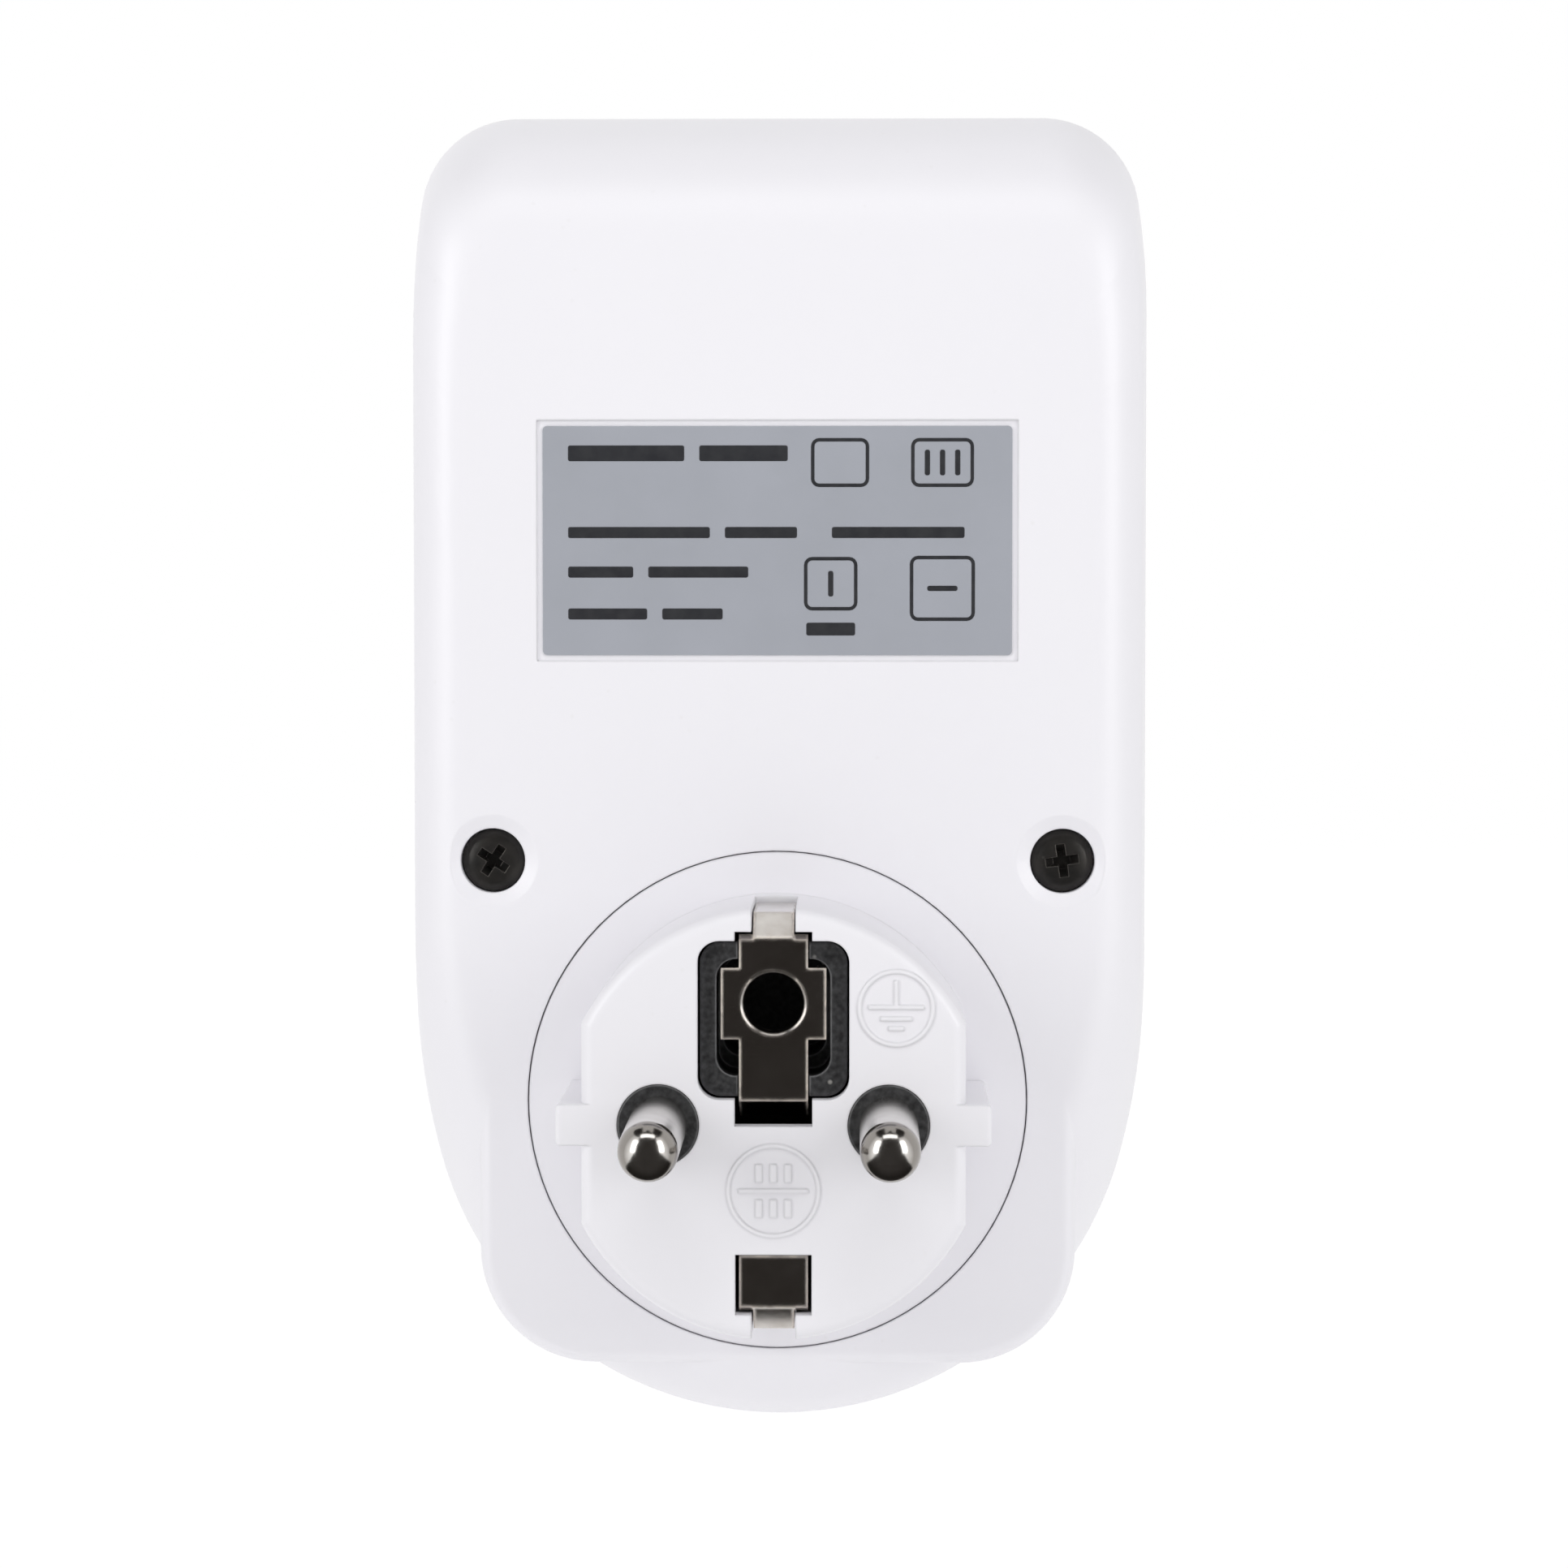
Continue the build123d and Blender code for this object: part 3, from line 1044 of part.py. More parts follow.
def tact_switches():
    body_top = CONTROL_FRONT_Y - SWITCH_HEIGHT
    switches = []
    for x, z in list(button_points().values()) + [RESET_POINT]:
        case = slab(panel((SWITCH_SIZE, SWITCH_SIZE), x, z, 0.5), CONTROL_FRONT_Y, body_top)
        case = chamfer(case.faces().sort_by(Axis.Y)[0].edges(), 0.3)
        switches.append(case + slab(disc(SWITCH_STEM_RADIUS, x, z), body_top + 1, SWITCH_STEM_TOP_Y))
    return group(switches)


def indicator_led():
    lens = slab(disc(LAMP_RADIUS, *LAMP_POINT), CONTROL_FRONT_Y - 1, LAMP_TIP_Y)
    lens = fillet(lens.faces().sort_by(Axis.Y)[0].edges(), LAMP_RADIUS * 0.9)
    return lens + slab(disc(LAMP_RADIUS + 0.35, *LAMP_POINT), CONTROL_FRONT_Y, CONTROL_FRONT_Y - 1.4)


def controller_chip():
    x, z = CHIP_POINT
    back = CONTROL_BACK_Y
    body = slab(panel((10.0, 10.0), x, z), back + 1.8, back + 0.3)
    body = chamfer(body.edges().group_by(Axis.Y)[-1], 0.3)
    pins = []
    for step in range(-4, 5):
        for side in (-1, 1):
            pins.append(block(x + step - 0.2, x + step + 0.2, back, back + 0.9, *row(z, side)))
            side_pin = panel_between(*row(x, side), z + step - 0.2, z + step + 0.2)
            pins.append(slab(side_pin, back + 0.9, back))
    return join([body] + pins)


def row(middle, side):
    """Limits of a chip's leads on one side of its body."""
    return sorted((middle + side * 4.8, middle + side * 6.2))


def crystal():
    x, z = CRYSTAL_POINT
    back = CONTROL_BACK_Y
    can = slab(panel((4.6, 11.0), x, z, 2.2), back + 3.4, back)
    return fillet(can.faces().sort_by(Axis.Y)[-1].edges(), 0.5)


def backup_cell():
    """Button cell with two solder tags."""
    x, z = CELL_POINT
    back = CONTROL_BACK_Y
    cell = slab(disc(CELL_RADIUS, x, z), back + 0.3 + CELL_HEIGHT, back + 0.3)
    cell = fillet(cell.faces().sort_by(Axis.Y)[-1].edges(), 0.8)
    cell += block(x - 1.5, x + 1.5, back, back + 0.6, z - 11.0, z)
    strap = back + 0.3 + CELL_HEIGHT
    cell += block(x - 1.5, x + 1.5, strap - 0.1, strap + 0.3, z - 2, z + CELL_RADIUS + 1.5)
    return cell + block(x - 1.5, x + 1.5, back, strap + 0.3, z + CELL_RADIUS + 1.1, z + CELL_RADIUS + 1.5)


# ---------------------------------------------------------------------------------- power board


def power_board():
    half = POWER_HALF_WIDTH
    shape = panel_between(-half, half, POWER_LOW_Z, POWER_HIGH_Z, POWER_CORNER)
    board = slab(shape, POWER_BACK_Y, POWER_FRONT_Y)
    for x, z in power_screw_points():
        board -= slab(disc(SMALL_SCREW_RADIUS + LOOSE_GAP, x, z), 0, -PARTING_DEPTH)
    half = ARM_WIDTH / 2 + LOOSE_GAP
    low = ARM_TOP_Z - BAR_THICKNESS - LOOSE_GAP
    for x in (arm_x(1), LINE_OUT_ARM_X, arm_x(-1)):
        board -= block(x - half, x + half, -PARTING_DEPTH, 0, low, ARM_TOP_Z + LOOSE_GAP)
    return board


def power_board_screws():
    radii = (SMALL_HEAD_RADIUS, SMALL_SCREW_RADIUS)
    length = BOARD_THICKNESS + 3.2
    return group(
        screw(p, POWER_FRONT_Y, -1, radii, SMALL_HEAD_HEIGHT, length) for p in power_screw_points()
    )


def standing_box(point, size, edge):
    """Box that stands on the power board, with its outer edges rounded."""
    width, height, length = size
    back = POWER_FRONT_Y
    box = slab(panel((width, length), *point), back, back - height)
    edges = box.edges().filter_by(Axis.Y) + box.faces().sort_by(Axis.Y)[0].edges()
    return fillet(edges, edge)


def relay():
    case = standing_box(RELAY_POINT, RELAY_BOX, 0.5)
    x, z = RELAY_POINT
    top = POWER_FRONT_Y - RELAY_BOX[1]
    return case - slab(disc(0.7, x + 4.0, z + 12.0), top + 0.5, top - 1)


def film_capacitor():
    return standing_box(FILM_POINT, FILM_BOX, 0.6)


def electrolytic_capacitor():
    back = POWER_FRONT_Y
    front = back - ELECTROLYTIC_HEIGHT
    can = slab(disc(ELECTROLYTIC_RADIUS, *ELECTROLYTIC_POINT), back, front)
    can = fillet(can.edges().filter_by(GeomType.CIRCLE), 0.5)
    x, z = ELECTROLYTIC_POINT
    for size in ((6.0, 0.4), (0.4, 6.0)):
        can -= slab(panel(size, x, z), front + 0.25, front - 1)
    neck = disc(ELECTROLYTIC_RADIUS + 1, x, z) - disc(ELECTROLYTIC_RADIUS - 0.3, x, z)
    return can - slab(neck, back - 1.6, back - 2.4)


def varistor():
    x, z = VARISTOR_POINT
    back = POWER_FRONT_Y
    centre_y = back - 1.5 - VARISTOR_RADIUS
    body = Pos(x, centre_y, z) * Rot(0, 90, 0) * Cylinder(VARISTOR_RADIUS, VARISTOR_THICKNESS)
    body = fillet(body.edges().filter_by(GeomType.CIRCLE), 1.2)
    for side in (-1, 1):
        lead = slab(disc(0.4, x, z + side * 2.5), back, centre_y + 3.5)
        body += lead
    return body


def lying_rod(x, z, radius, length, along_x, lift):
    """Round body lying over the power board, with a lead bent down at each end."""
    back = POWER_FRONT_Y
    level = back - lift - radius
    end = length / 2 + LEAD_REACH
    edge = radius * 0.3
    half = [(0, 0), (end, 0), (end, LEAD_RADIUS), (length / 2, LEAD_RADIUS)]
    half += [(length / 2, radius - edge), (length / 2 - edge, radius), (0, radius)]
    side = make_face(Polyline(*half, close=True))
    face = side + mirror(side, about=Plane.YZ)
    body = revolve(face, axis=Axis.X)
    turn = Rot(0, 0, 0) if along_x else Rot(0, 90, 0)
    shapes = [Pos(x, level, z) * turn * body]
    for side in (-1, 1):
        reach = side * (end - LEAD_RADIUS)
        point = (x + reach, z) if along_x else (x, z + reach)
        shapes.append(slab(panel((LEAD_RADIUS, LEAD_RADIUS), *point), back, level))
    return join(shapes)


def fuse():
    return lying_rod(*FUSE_POINT, FUSE_RADIUS, FUSE_LENGTH, True, 0.3)


def rectifier_diodes():
    return group(
        lying_rod(x, DIODE_Z, DIODE_RADIUS, DIODE_LENGTH, False, 0.2) for x in DIODE_COLUMNS
    )


def regulator():
    x, z = REGULATOR_POINT
    back = POWER_FRONT_Y
    shape = disc(REGULATOR_RADIUS, x, z) - panel((6.0, 2.0), x, z - REGULATOR_RADIUS)
    body = slab(shape, back - 1.2, back - 6.2)
    for side in (-1, 0, 1):
        body += block(x + side * 1.27 - 0.25, x + side * 1.27 + 0.25, back - 1.5, back, z - 0.25, z + 0.25)
    return body


def header(back, facing):
    """Open box header. Facing is -1 where its mouth looks to the front, 1 to the rear."""
    width, height, length = HEADER_BOX
    x, z = HEADER_POINT
    low, high = sorted((back, back + facing * height))
    box = slab(panel((width, length), x, z), high, low)
    cut_low, cut_high = sorted((back + facing * HEADER_FLOOR, back + facing * (height + 1)))
    return box - slab(panel((width - 1.2, length - 1.2), x, z), cut_high, cut_low)


def power_header():
    return header(POWER_FRONT_Y, -1)


def control_header():
    return header(CONTROL_BACK_Y, 1)


def ribbon_cable():
    """Flat cable with a shallow bow, from one header to the other."""
    x, z = HEADER_POINT
    start = POWER_FRONT_Y - HEADER_FLOOR - LOOSE_GAP
    end = CONTROL_BACK_Y + HEADER_FLOOR + LOOSE_GAP
    straight = HEADER_BOX[1] - HEADER_FLOOR
    reach = (start - end) / 2 - straight
    radius = reach / (2 * math.sin(math.radians(RIBBON_BEND)))
    pieces = [Line((start, z), (start - straight, z))]
    for turn in (-RIBBON_BEND, 2 * RIBBON_BEND, -RIBBON_BEND):
        pieces.append(JernArc(pieces[-1] @ 1, pieces[-1] % 1, radius, turn))
    pieces.append(Line(pieces[-1] @ 1, (end, z)))
    path = Plane.YZ.offset(x) * Wire(pieces)
    profile = Plane(path @ 0, x_dir=(1, 0, 0), z_dir=(0, -1, 0)) * Rectangle(RIBBON_WIDTH, RIBBON_THICKNESS)
    return sweep(profile, path=path)


def nodes():
    """Every node's name and the function that makes it."""
    table = {
        "rear_housing": rear_housing,
        "front_housing": front_housing,
        "housing_screws": housing_screws,
        "rating_label": rating_label,
        "plug_cover": plug_cover,
        "plug_screws": plug_screws,
        "pin_carrier": pin_carrier,
        "line_pin": lambda: plug_pin(1),
        "neutral_pin": lambda: plug_pin(-1),
        "upper_earth_clip": upper_earth_clip,
        "lower_earth_clip": lower_earth_clip,
        "earth_bar": earth_bar,
        "line_in_bar": line_in_bar,
        "line_out_bar": line_out_bar,
        "neutral_bar": neutral_bar,
        "line_contact": lambda: socket_contact(1),
        "neutral_contact": lambda: socket_contact(-1),
        "contact_base": contact_base,
        "socket_insert": socket_insert,
        "insert_screws": insert_screws,
        "socket_upper_earth_clip": lambda: socket_earth_clip(1),
        "socket_lower_earth_clip": lambda: socket_earth_clip(-1),
        "shutter": shutter,
        "shutter_spring": shutter_spring,
        "display_window": display_window,
        "lcd_glass": lcd_glass,
        "lcd_frame": lcd_frame,
        "lcd_connectors": lcd_connectors,
        "control_board": control_board,
        "control_board_screws": control_board_screws,
        "tact_switches": tact_switches,
        "indicator_led": indicator_led,
        "controller_chip": controller_chip,
        "crystal": crystal,
        "backup_cell": backup_cell,
        "control_header": control_header,
        "reset_button": reset_button,
        "power_board": power_board,
        "power_board_screws": power_board_screws,
        "relay": relay,
        "film_capacitor": film_capacitor,
        "electrolytic_capacitor": electrolytic_capacitor,
        "varistor": varistor,
        "fuse": fuse,
        "rectifier_diodes": rectifier_diodes,
        "regulator": regulator,
        "power_header": power_header,
        "ribbon_cable": ribbon_cable,
    }
    for name, point in button_points().items():
        table[name] = lambda point=point: push_button(point)
    return table


def main():
    os.makedirs("parts", exist_ok=True)
    for name, make in nodes().items():
        export_step(make(), f"parts/{name}.step")
        print(name)


main()
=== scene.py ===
"""Plug-in timer switch: finishes, printed marks, screws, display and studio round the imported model.

Everything is in metres. +Y points out of the rear face along the plug pins, +Z is up, and the
display, the buttons and the socket face -Y.
"""

import logging
import math
from collections.abc import Iterable, Sequence
from dataclasses import dataclass
from enum import Enum

import bmesh
import bpy
from mathutils import Matrix, Vector


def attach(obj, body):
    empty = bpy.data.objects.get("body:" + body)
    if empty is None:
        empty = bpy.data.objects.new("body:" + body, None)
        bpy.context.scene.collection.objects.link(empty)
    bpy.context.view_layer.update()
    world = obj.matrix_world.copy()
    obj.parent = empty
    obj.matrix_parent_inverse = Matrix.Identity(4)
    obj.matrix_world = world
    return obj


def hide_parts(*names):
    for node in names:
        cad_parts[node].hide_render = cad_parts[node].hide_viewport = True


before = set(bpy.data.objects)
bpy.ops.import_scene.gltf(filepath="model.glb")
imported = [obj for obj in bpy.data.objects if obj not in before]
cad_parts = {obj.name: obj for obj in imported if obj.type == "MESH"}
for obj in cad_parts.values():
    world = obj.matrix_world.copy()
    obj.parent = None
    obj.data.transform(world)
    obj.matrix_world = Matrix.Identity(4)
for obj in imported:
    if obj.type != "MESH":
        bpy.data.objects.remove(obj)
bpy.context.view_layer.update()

MM = 0.001
ROOT_BODY = "root"
LOG = logging.getLogger("timer_switch")

Triple = tuple[float, float, float]
Colour = Triple
Point = tuple[float, float]
Feed = bpy.types.NodeSocket | float | Sequence[float]

MIX_COLOURS = (6, 7)
MIX_RESULT = 2


class Side(Enum):
    """A side seen from the rear, as the sign of its X."""

    LEFT = 1
    RIGHT = -1


# ------------------------------------------------------------------------------------ node trees


class Graph:
    """Adds and joins the nodes of one node tree."""

    def __init__(self, tree: bpy.types.NodeTree) -> None:
        """Keep the tree that the nodes go into."""
        self.tree = tree

    def node(self, kind: str, feeds: dict[str | int, Feed] | None = None,
             **settings: object) -> bpy.types.Node:
        """Add a node.

        Args:
            kind: Blender's name of the node's type.
            feeds: What goes into its inputs, by name or place: a socket or a constant.
            **settings: The node's own attributes.

        Returns:
            The node.
        """
        made = self.tree.nodes.new(kind)
        for name, value in settings.items():
            setattr(made, name, value)
        for key, value in (feeds or {}).items():
            self.feed(made.inputs[key], value)
        return made

    def feed(self, socket: bpy.types.NodeSocket, value: Feed) -> None:
        """Join an input to an output, or give it a constant.

        Args:
            socket: The input.
            value: The output that feeds it, or its constant.
        """
        if isinstance(value, bpy.types.NodeSocket):
            self.tree.links.new(value, socket)
        else:
            socket.default_value = value

    def math(self, operation: str, *values: Feed, clamp: bool = False) -> bpy.types.NodeSocket:
        """Add a Math node.

        Args:
            operation: What it does.
            *values: What it does that to.
            clamp: Whether its result is kept between 0 and 1.

        Returns:
            Its result.
        """
        feeds = dict(enumerate(values))
        return self.node("ShaderNodeMath", feeds, operation=operation, use_clamp=clamp).outputs[0]

    def mix(self, factor: Feed, first: Feed, second: Feed) -> bpy.types.NodeSocket:
        """Mix two colours.

        Args:
            factor: 0 for the first colour, 1 for the second.
            first: One colour.
            second: The other one.

        Returns:
            The colour between them.
        """
        feeds = {"Factor": factor, MIX_COLOURS[0]: first, MIX_COLOURS[1]: second}
        return self.node("ShaderNodeMix", feeds, data_type="RGBA").outputs[MIX_RESULT]

    def spread(self, value: Feed, lows: Point, highs: Point) -> bpy.types.NodeSocket:
        """Move a value from one range to another.

        Args:
            value: The value.
            lows: Where its range starts, and what that becomes.
            highs: Where its range ends, and what that becomes.

        Returns:
            The moved value, kept within its new range.
        """
        feeds = {"Value": value, "From Min": lows[0], "From Max": highs[0],
                 "To Min": lows[1], "To Max": highs[1]}
        return self.node("ShaderNodeMapRange", feeds).outputs[0]

    def noise(self, scale: Feed, vector: Feed, detail: float = 2.0) -> bpy.types.NodeSocket:
        """Noise between 0 and 1."""
        feeds = {"Vector": vector, "Scale": scale, "Detail": detail}
        return self.node("ShaderNodeTexNoise", feeds).outputs["Fac"]

    def place(self) -> bpy.types.NodeSocket:
        """The surface's own coordinates, in metres."""
        return self.node("ShaderNodeTexCoord").outputs["Object"]

    def seen(self) -> bpy.types.NodeSocket:
        """Tell how a ray came.

        Returns:
            1 from the camera, in gloss or through glass, and 0 where it lights matt surfaces.
        """
        path = self.node("ShaderNodeLightPath").outputs
        through = self.math("MAXIMUM", path["Is Glossy Ray"], path["Is Transmission Ray"])
        return self.math("MAXIMUM", path["Is Camera Ray"], through)


def new_material(name: str) -> tuple[bpy.types.Material, Graph, bpy.types.Node]:
    """Make a material.

    Args:
        name: Its name.

    Returns:
        The material, its graph and its Principled shader.
    """
    made = bpy.data.materials.new(name)
    made.use_nodes = True
    return made, Graph(made.node_tree), made.node_tree.nodes["Principled BSDF"]


@dataclass(frozen=True)
class Socket:
    """One input or output of a node group.

    Attributes:
        name: Its name.
        kind: Blender's name of its type.
        default: Its value where nothing feeds it.
    """

    name: str
    kind: str = "NodeSocketFloat"
    default: float | tuple[float, ...] = 0.0


class Effect:
    """A shader node group, shared by several materials.

    Attributes:
        name: The group's name.
        inputs: Its inputs.
        outputs: Its outputs.
    """

    name = "effect"
    inputs: tuple[Socket, ...] = ()
    outputs: tuple[Socket, ...] = ()

    def __init__(self) -> None:
        """Build the group once."""
        self.tree = bpy.data.node_groups.new(self.name, "ShaderNodeTree")
        for side, sockets in (("INPUT", self.inputs), ("OUTPUT", self.outputs)):
            for spec in sockets:
                made = self.tree.interface.new_socket(
                    name=spec.name, in_out=side, socket_type=spec.kind)
                made.default_value = spec.default
        self.graph = Graph(self.tree)
        given = self.graph.node("NodeGroupInput").outputs
        result = self.graph.node("NodeGroupOutput").inputs
        self.build(given, result)

    def build(self, given: bpy.types.NodeOutputs, result: bpy.types.NodeInputs) -> None:
        """Fill the group.

        Args:
            given: The group's inputs, as sockets to read.
            result: The group's outputs, as sockets to feed.
        """
        raise NotImplementedError

    def place_in(self, graph: Graph, feeds: dict[str | int, Feed]) -> bpy.types.NodeOutputs:
        """Put the group into a material.

        Args:
            graph: The material's tree.
            feeds: The values of the group's inputs there.

        Returns:
            The group's outputs.
        """
        return graph.node("ShaderNodeGroup", feeds, node_tree=self.tree).outputs


class ToneDrift(Effect):
    """Slow drift of colour and gloss over a surface."""

    name = "tone_drift"
    inputs = (
        Socket("Base", "NodeSocketColor", (0.8, 0.8, 0.8, 1.0)),
        Socket("Shade", "NodeSocketColor", (0.7, 0.7, 0.7, 1.0)),
        Socket("Scale", default=60.0),
        Socket("Roughness", default=0.4),
        Socket("Spread", default=0.05),
    )
    outputs = (Socket("Color", "NodeSocketColor", (0.8, 0.8, 0.8, 1.0)), Socket("Roughness"))
    slow_detail = 4.0
    fine_detail = 5.0
    fine_scale = 6.0
    base_end, shade_end = (0.3, 0.0), (0.7, 1.0)

    def build(self, given: bpy.types.NodeOutputs, result: bpy.types.NodeInputs) -> None:
        """Mix the two tones by slow noise, and vary the gloss by finer noise.

        Args:
            given: The group's inputs.
            result: The group's outputs.
        """
        graph, place = self.graph, self.graph.place()
        slow = graph.noise(given["Scale"], place, self.slow_detail)
        share = graph.spread(slow, self.base_end, self.shade_end)
        graph.feed(result["Color"], graph.mix(share, given["Base"], given["Shade"]))
        finer = graph.math("MULTIPLY", given["Scale"], self.fine_scale)
        centred = graph.math("SUBTRACT", graph.noise(finer, place, self.fine_detail), 0.5)
        swing = graph.math("MULTIPLY", centred, given["Spread"])
        graph.feed(result["Roughness"], graph.math("ADD", given["Roughness"], swing, clamp=True))


class MouldedGrain(Effect):
    """Fine uneven grain of a moulded or cast surface."""

    name = "moulded_grain"
    inputs = (Socket("Scale", default=6000.0),)
    outputs = (Socket("Height"),)
    fine_detail, ripple_detail = 3.0, 1.0
    fine_height = 0.4
    ripple_scale = 0.08

    def build(self, given: bpy.types.NodeOutputs, result: bpy.types.NodeInputs) -> None:
        """Add fine noise to a coarser ripple.

        Args:
            given: The group's inputs.
            result: The group's outputs.
        """
        graph, place = self.graph, self.graph.place()
        fine = graph.noise(given["Scale"], place, self.fine_detail)
        coarser = graph.math("MULTIPLY", given["Scale"], self.ripple_scale)
        ripple = graph.noise(coarser, place, self.ripple_detail)
        lower = graph.math("MULTIPLY", fine, self.fine_height)
        graph.feed(result["Height"], graph.math("ADD", lower, ripple))


class ToolLines(Effect):
    """Fine lines along one direction, as drawing, rolling or turning leaves them."""

    name = "tool_lines"
    inputs = (
        Socket("Stretch", "NodeSocketVector", (1.0, 1.0, 1.0)),
        Socket("Scale", default=3000.0),
    )
    outputs = (Socket("Height"),)
    detail = 3.0

    def build(self, given: bpy.types.NodeOutputs, result: bpy.types.NodeInputs) -> None:
        """Squeeze noise so that it runs in lines.

        Args:
            given: The group's inputs.
            result: The group's outputs.
        """
        graph = self.graph
        squeezed = graph.node("ShaderNodeVectorMath", {0: graph.place(), 1: given["Stretch"]},
                              operation="MULTIPLY").outputs[0]
        graph.feed(result["Height"], graph.noise(given["Scale"], squeezed, self.detail))


class EdgeWearAndHighlight(Effect):
    """Softened normal at sharp edges, and a broken mask along them, which colours edges partly as
    rubbed wear and partly as a painted edge highlight.
    """

    name = "edge_wear_and_highlight"
    inputs = (Socket("Radius", default=0.0002), Socket("Scale", default=900.0))
    outputs = (Socket("Normal", "NodeSocketVector", (0.0, 0.0, 0.0)), Socket("Mask"))
    samples = 6
    flat, turned = 0.995, 0.86
    patchy, whole = (0.3, 0.45), (0.6, 1.0)

    def build(self, given: bpy.types.NodeOutputs, result: bpy.types.NodeInputs) -> None:
        """Compare the rounded normal with the true one.

        Args:
            given: The group's inputs.
            result: The group's outputs.
        """
        graph = self.graph
        soft = graph.node("ShaderNodeBevel", {"Radius": given["Radius"]},
                          samples=self.samples).outputs[0]
        true = graph.node("ShaderNodeNewGeometry").outputs["Normal"]
        same = graph.node("ShaderNodeVectorMath", {0: soft, 1: true}, operation="DOT_PRODUCT")
        edge = graph.spread(same.outputs["Value"], (self.flat, 0.0), (self.turned, 1.0))
        patches = graph.noise(given["Scale"], graph.place())
        broken = graph.spread(patches, self.patchy, self.whole)
        graph.feed(result["Normal"], soft)
        graph.feed(result["Mask"], graph.math("MULTIPLY", edge, broken, clamp=True))


class FineDust(Effect):
    """Sparse specks of dust."""

    name = "fine_dust"
    inputs = (Socket("Scale", default=500.0), Socket("Cover", default=0.05))
    outputs = (Socket("Mask"),)
    rim, core = (0.12, 0.0), (0.05, 1.0)
    patch_scale = 0.15
    clean, dusty = (0.5, 0.0), (0.7, 1.0)

    def build(self, given: bpy.types.NodeOutputs, result: bpy.types.NodeInputs) -> None:
        """Keep the middles of scattered cells as specks, where slow noise allows them.

        Args:
            given: The group's inputs.
            result: The group's outputs.
        """
        graph, place = self.graph, self.graph.place()
        cells = graph.node("ShaderNodeTexVoronoi", {"Vector": place, "Scale": given["Scale"]})
        speck = graph.spread(cells.outputs["Distance"], self.rim, self.core)
        patch = graph.noise(graph.math("MULTIPLY", given["Scale"], self.patch_scale), place)
        allowed = graph.spread(patch, self.clean, self.dusty)
        both = graph.math("MULTIPLY", speck, allowed)
        graph.feed(result["Mask"], graph.math("MULTIPLY", both, given["Cover"], clamp=True))


class CopperTraces(Effect):
    """Tracks and pads under a circuit board's lacquer."""

    name = "copper_traces"
    inputs = (Socket("Scale", default=240.0),)
    outputs = (Socket("Tracks"), Socket("Pads"))
    jumble = 0.55
    track_rim, track_core = (0.1, 0.0), (0.07, 1.0)
    pad_rim, pad_core = (0.2, 0.0), (0.17, 1.0)

    def build(self, given: bpy.types.NodeOutputs, result: bpy.types.NodeInputs) -> None:
        """Draw cell borders as tracks and cell middles as pads.

        Args:
            given: The group's inputs.
            result: The group's outputs.
        """
        graph, place = self.graph, self.graph.place()
        feeds = {"Vector": place, "Scale": given["Scale"], "Randomness": self.jumble}
        rims = graph.node("ShaderNodeTexVoronoi", feeds, feature="DISTANCE_TO_EDGE").outputs
        dots = graph.node("ShaderNodeTexVoronoi", feeds, distance="MANHATTAN").outputs
        tracks = graph.spread(rims["Distance"], self.track_rim, self.track_core)
        pads = graph.spread(dots["Distance"], self.pad_rim, self.pad_core)
        graph.feed(result["Tracks"], tracks)
        graph.feed(result["Pads"], pads)


# -------------------------------------------------------------------------------------- finishes


# Fade at the ends of the band of painted dark reflection on the pin tips, in metres.
BAND_FADE = 0.0005
COAT_ROUGHNESS = 0.15
TRACK_LIFT = 1.7
# Default edge colour, lighter than the base: partly rubbed wear, partly a painted edge highlight.
EDGE_LIFT, EDGE_LEAST = 1.15, 0.01
CLEAR_SHADE, CLEAR_SPREAD = 0.97, 0.02
PAD_COLOUR: Colour = (0.45, 0.43, 0.38)
DUST_COLOUR: Colour = (0.62, 0.6, 0.56)
ALONG_PIN: Triple = (1.0, 0.04, 1.0)
ALONG_STRIP: Triple = (1.0, 0.05, 0.05)


class Surface(Enum):
    """How the small-scale surface of a finish is made."""

    GRAIN = "grain"
    LINES = "lines"
    BOARD = "board"


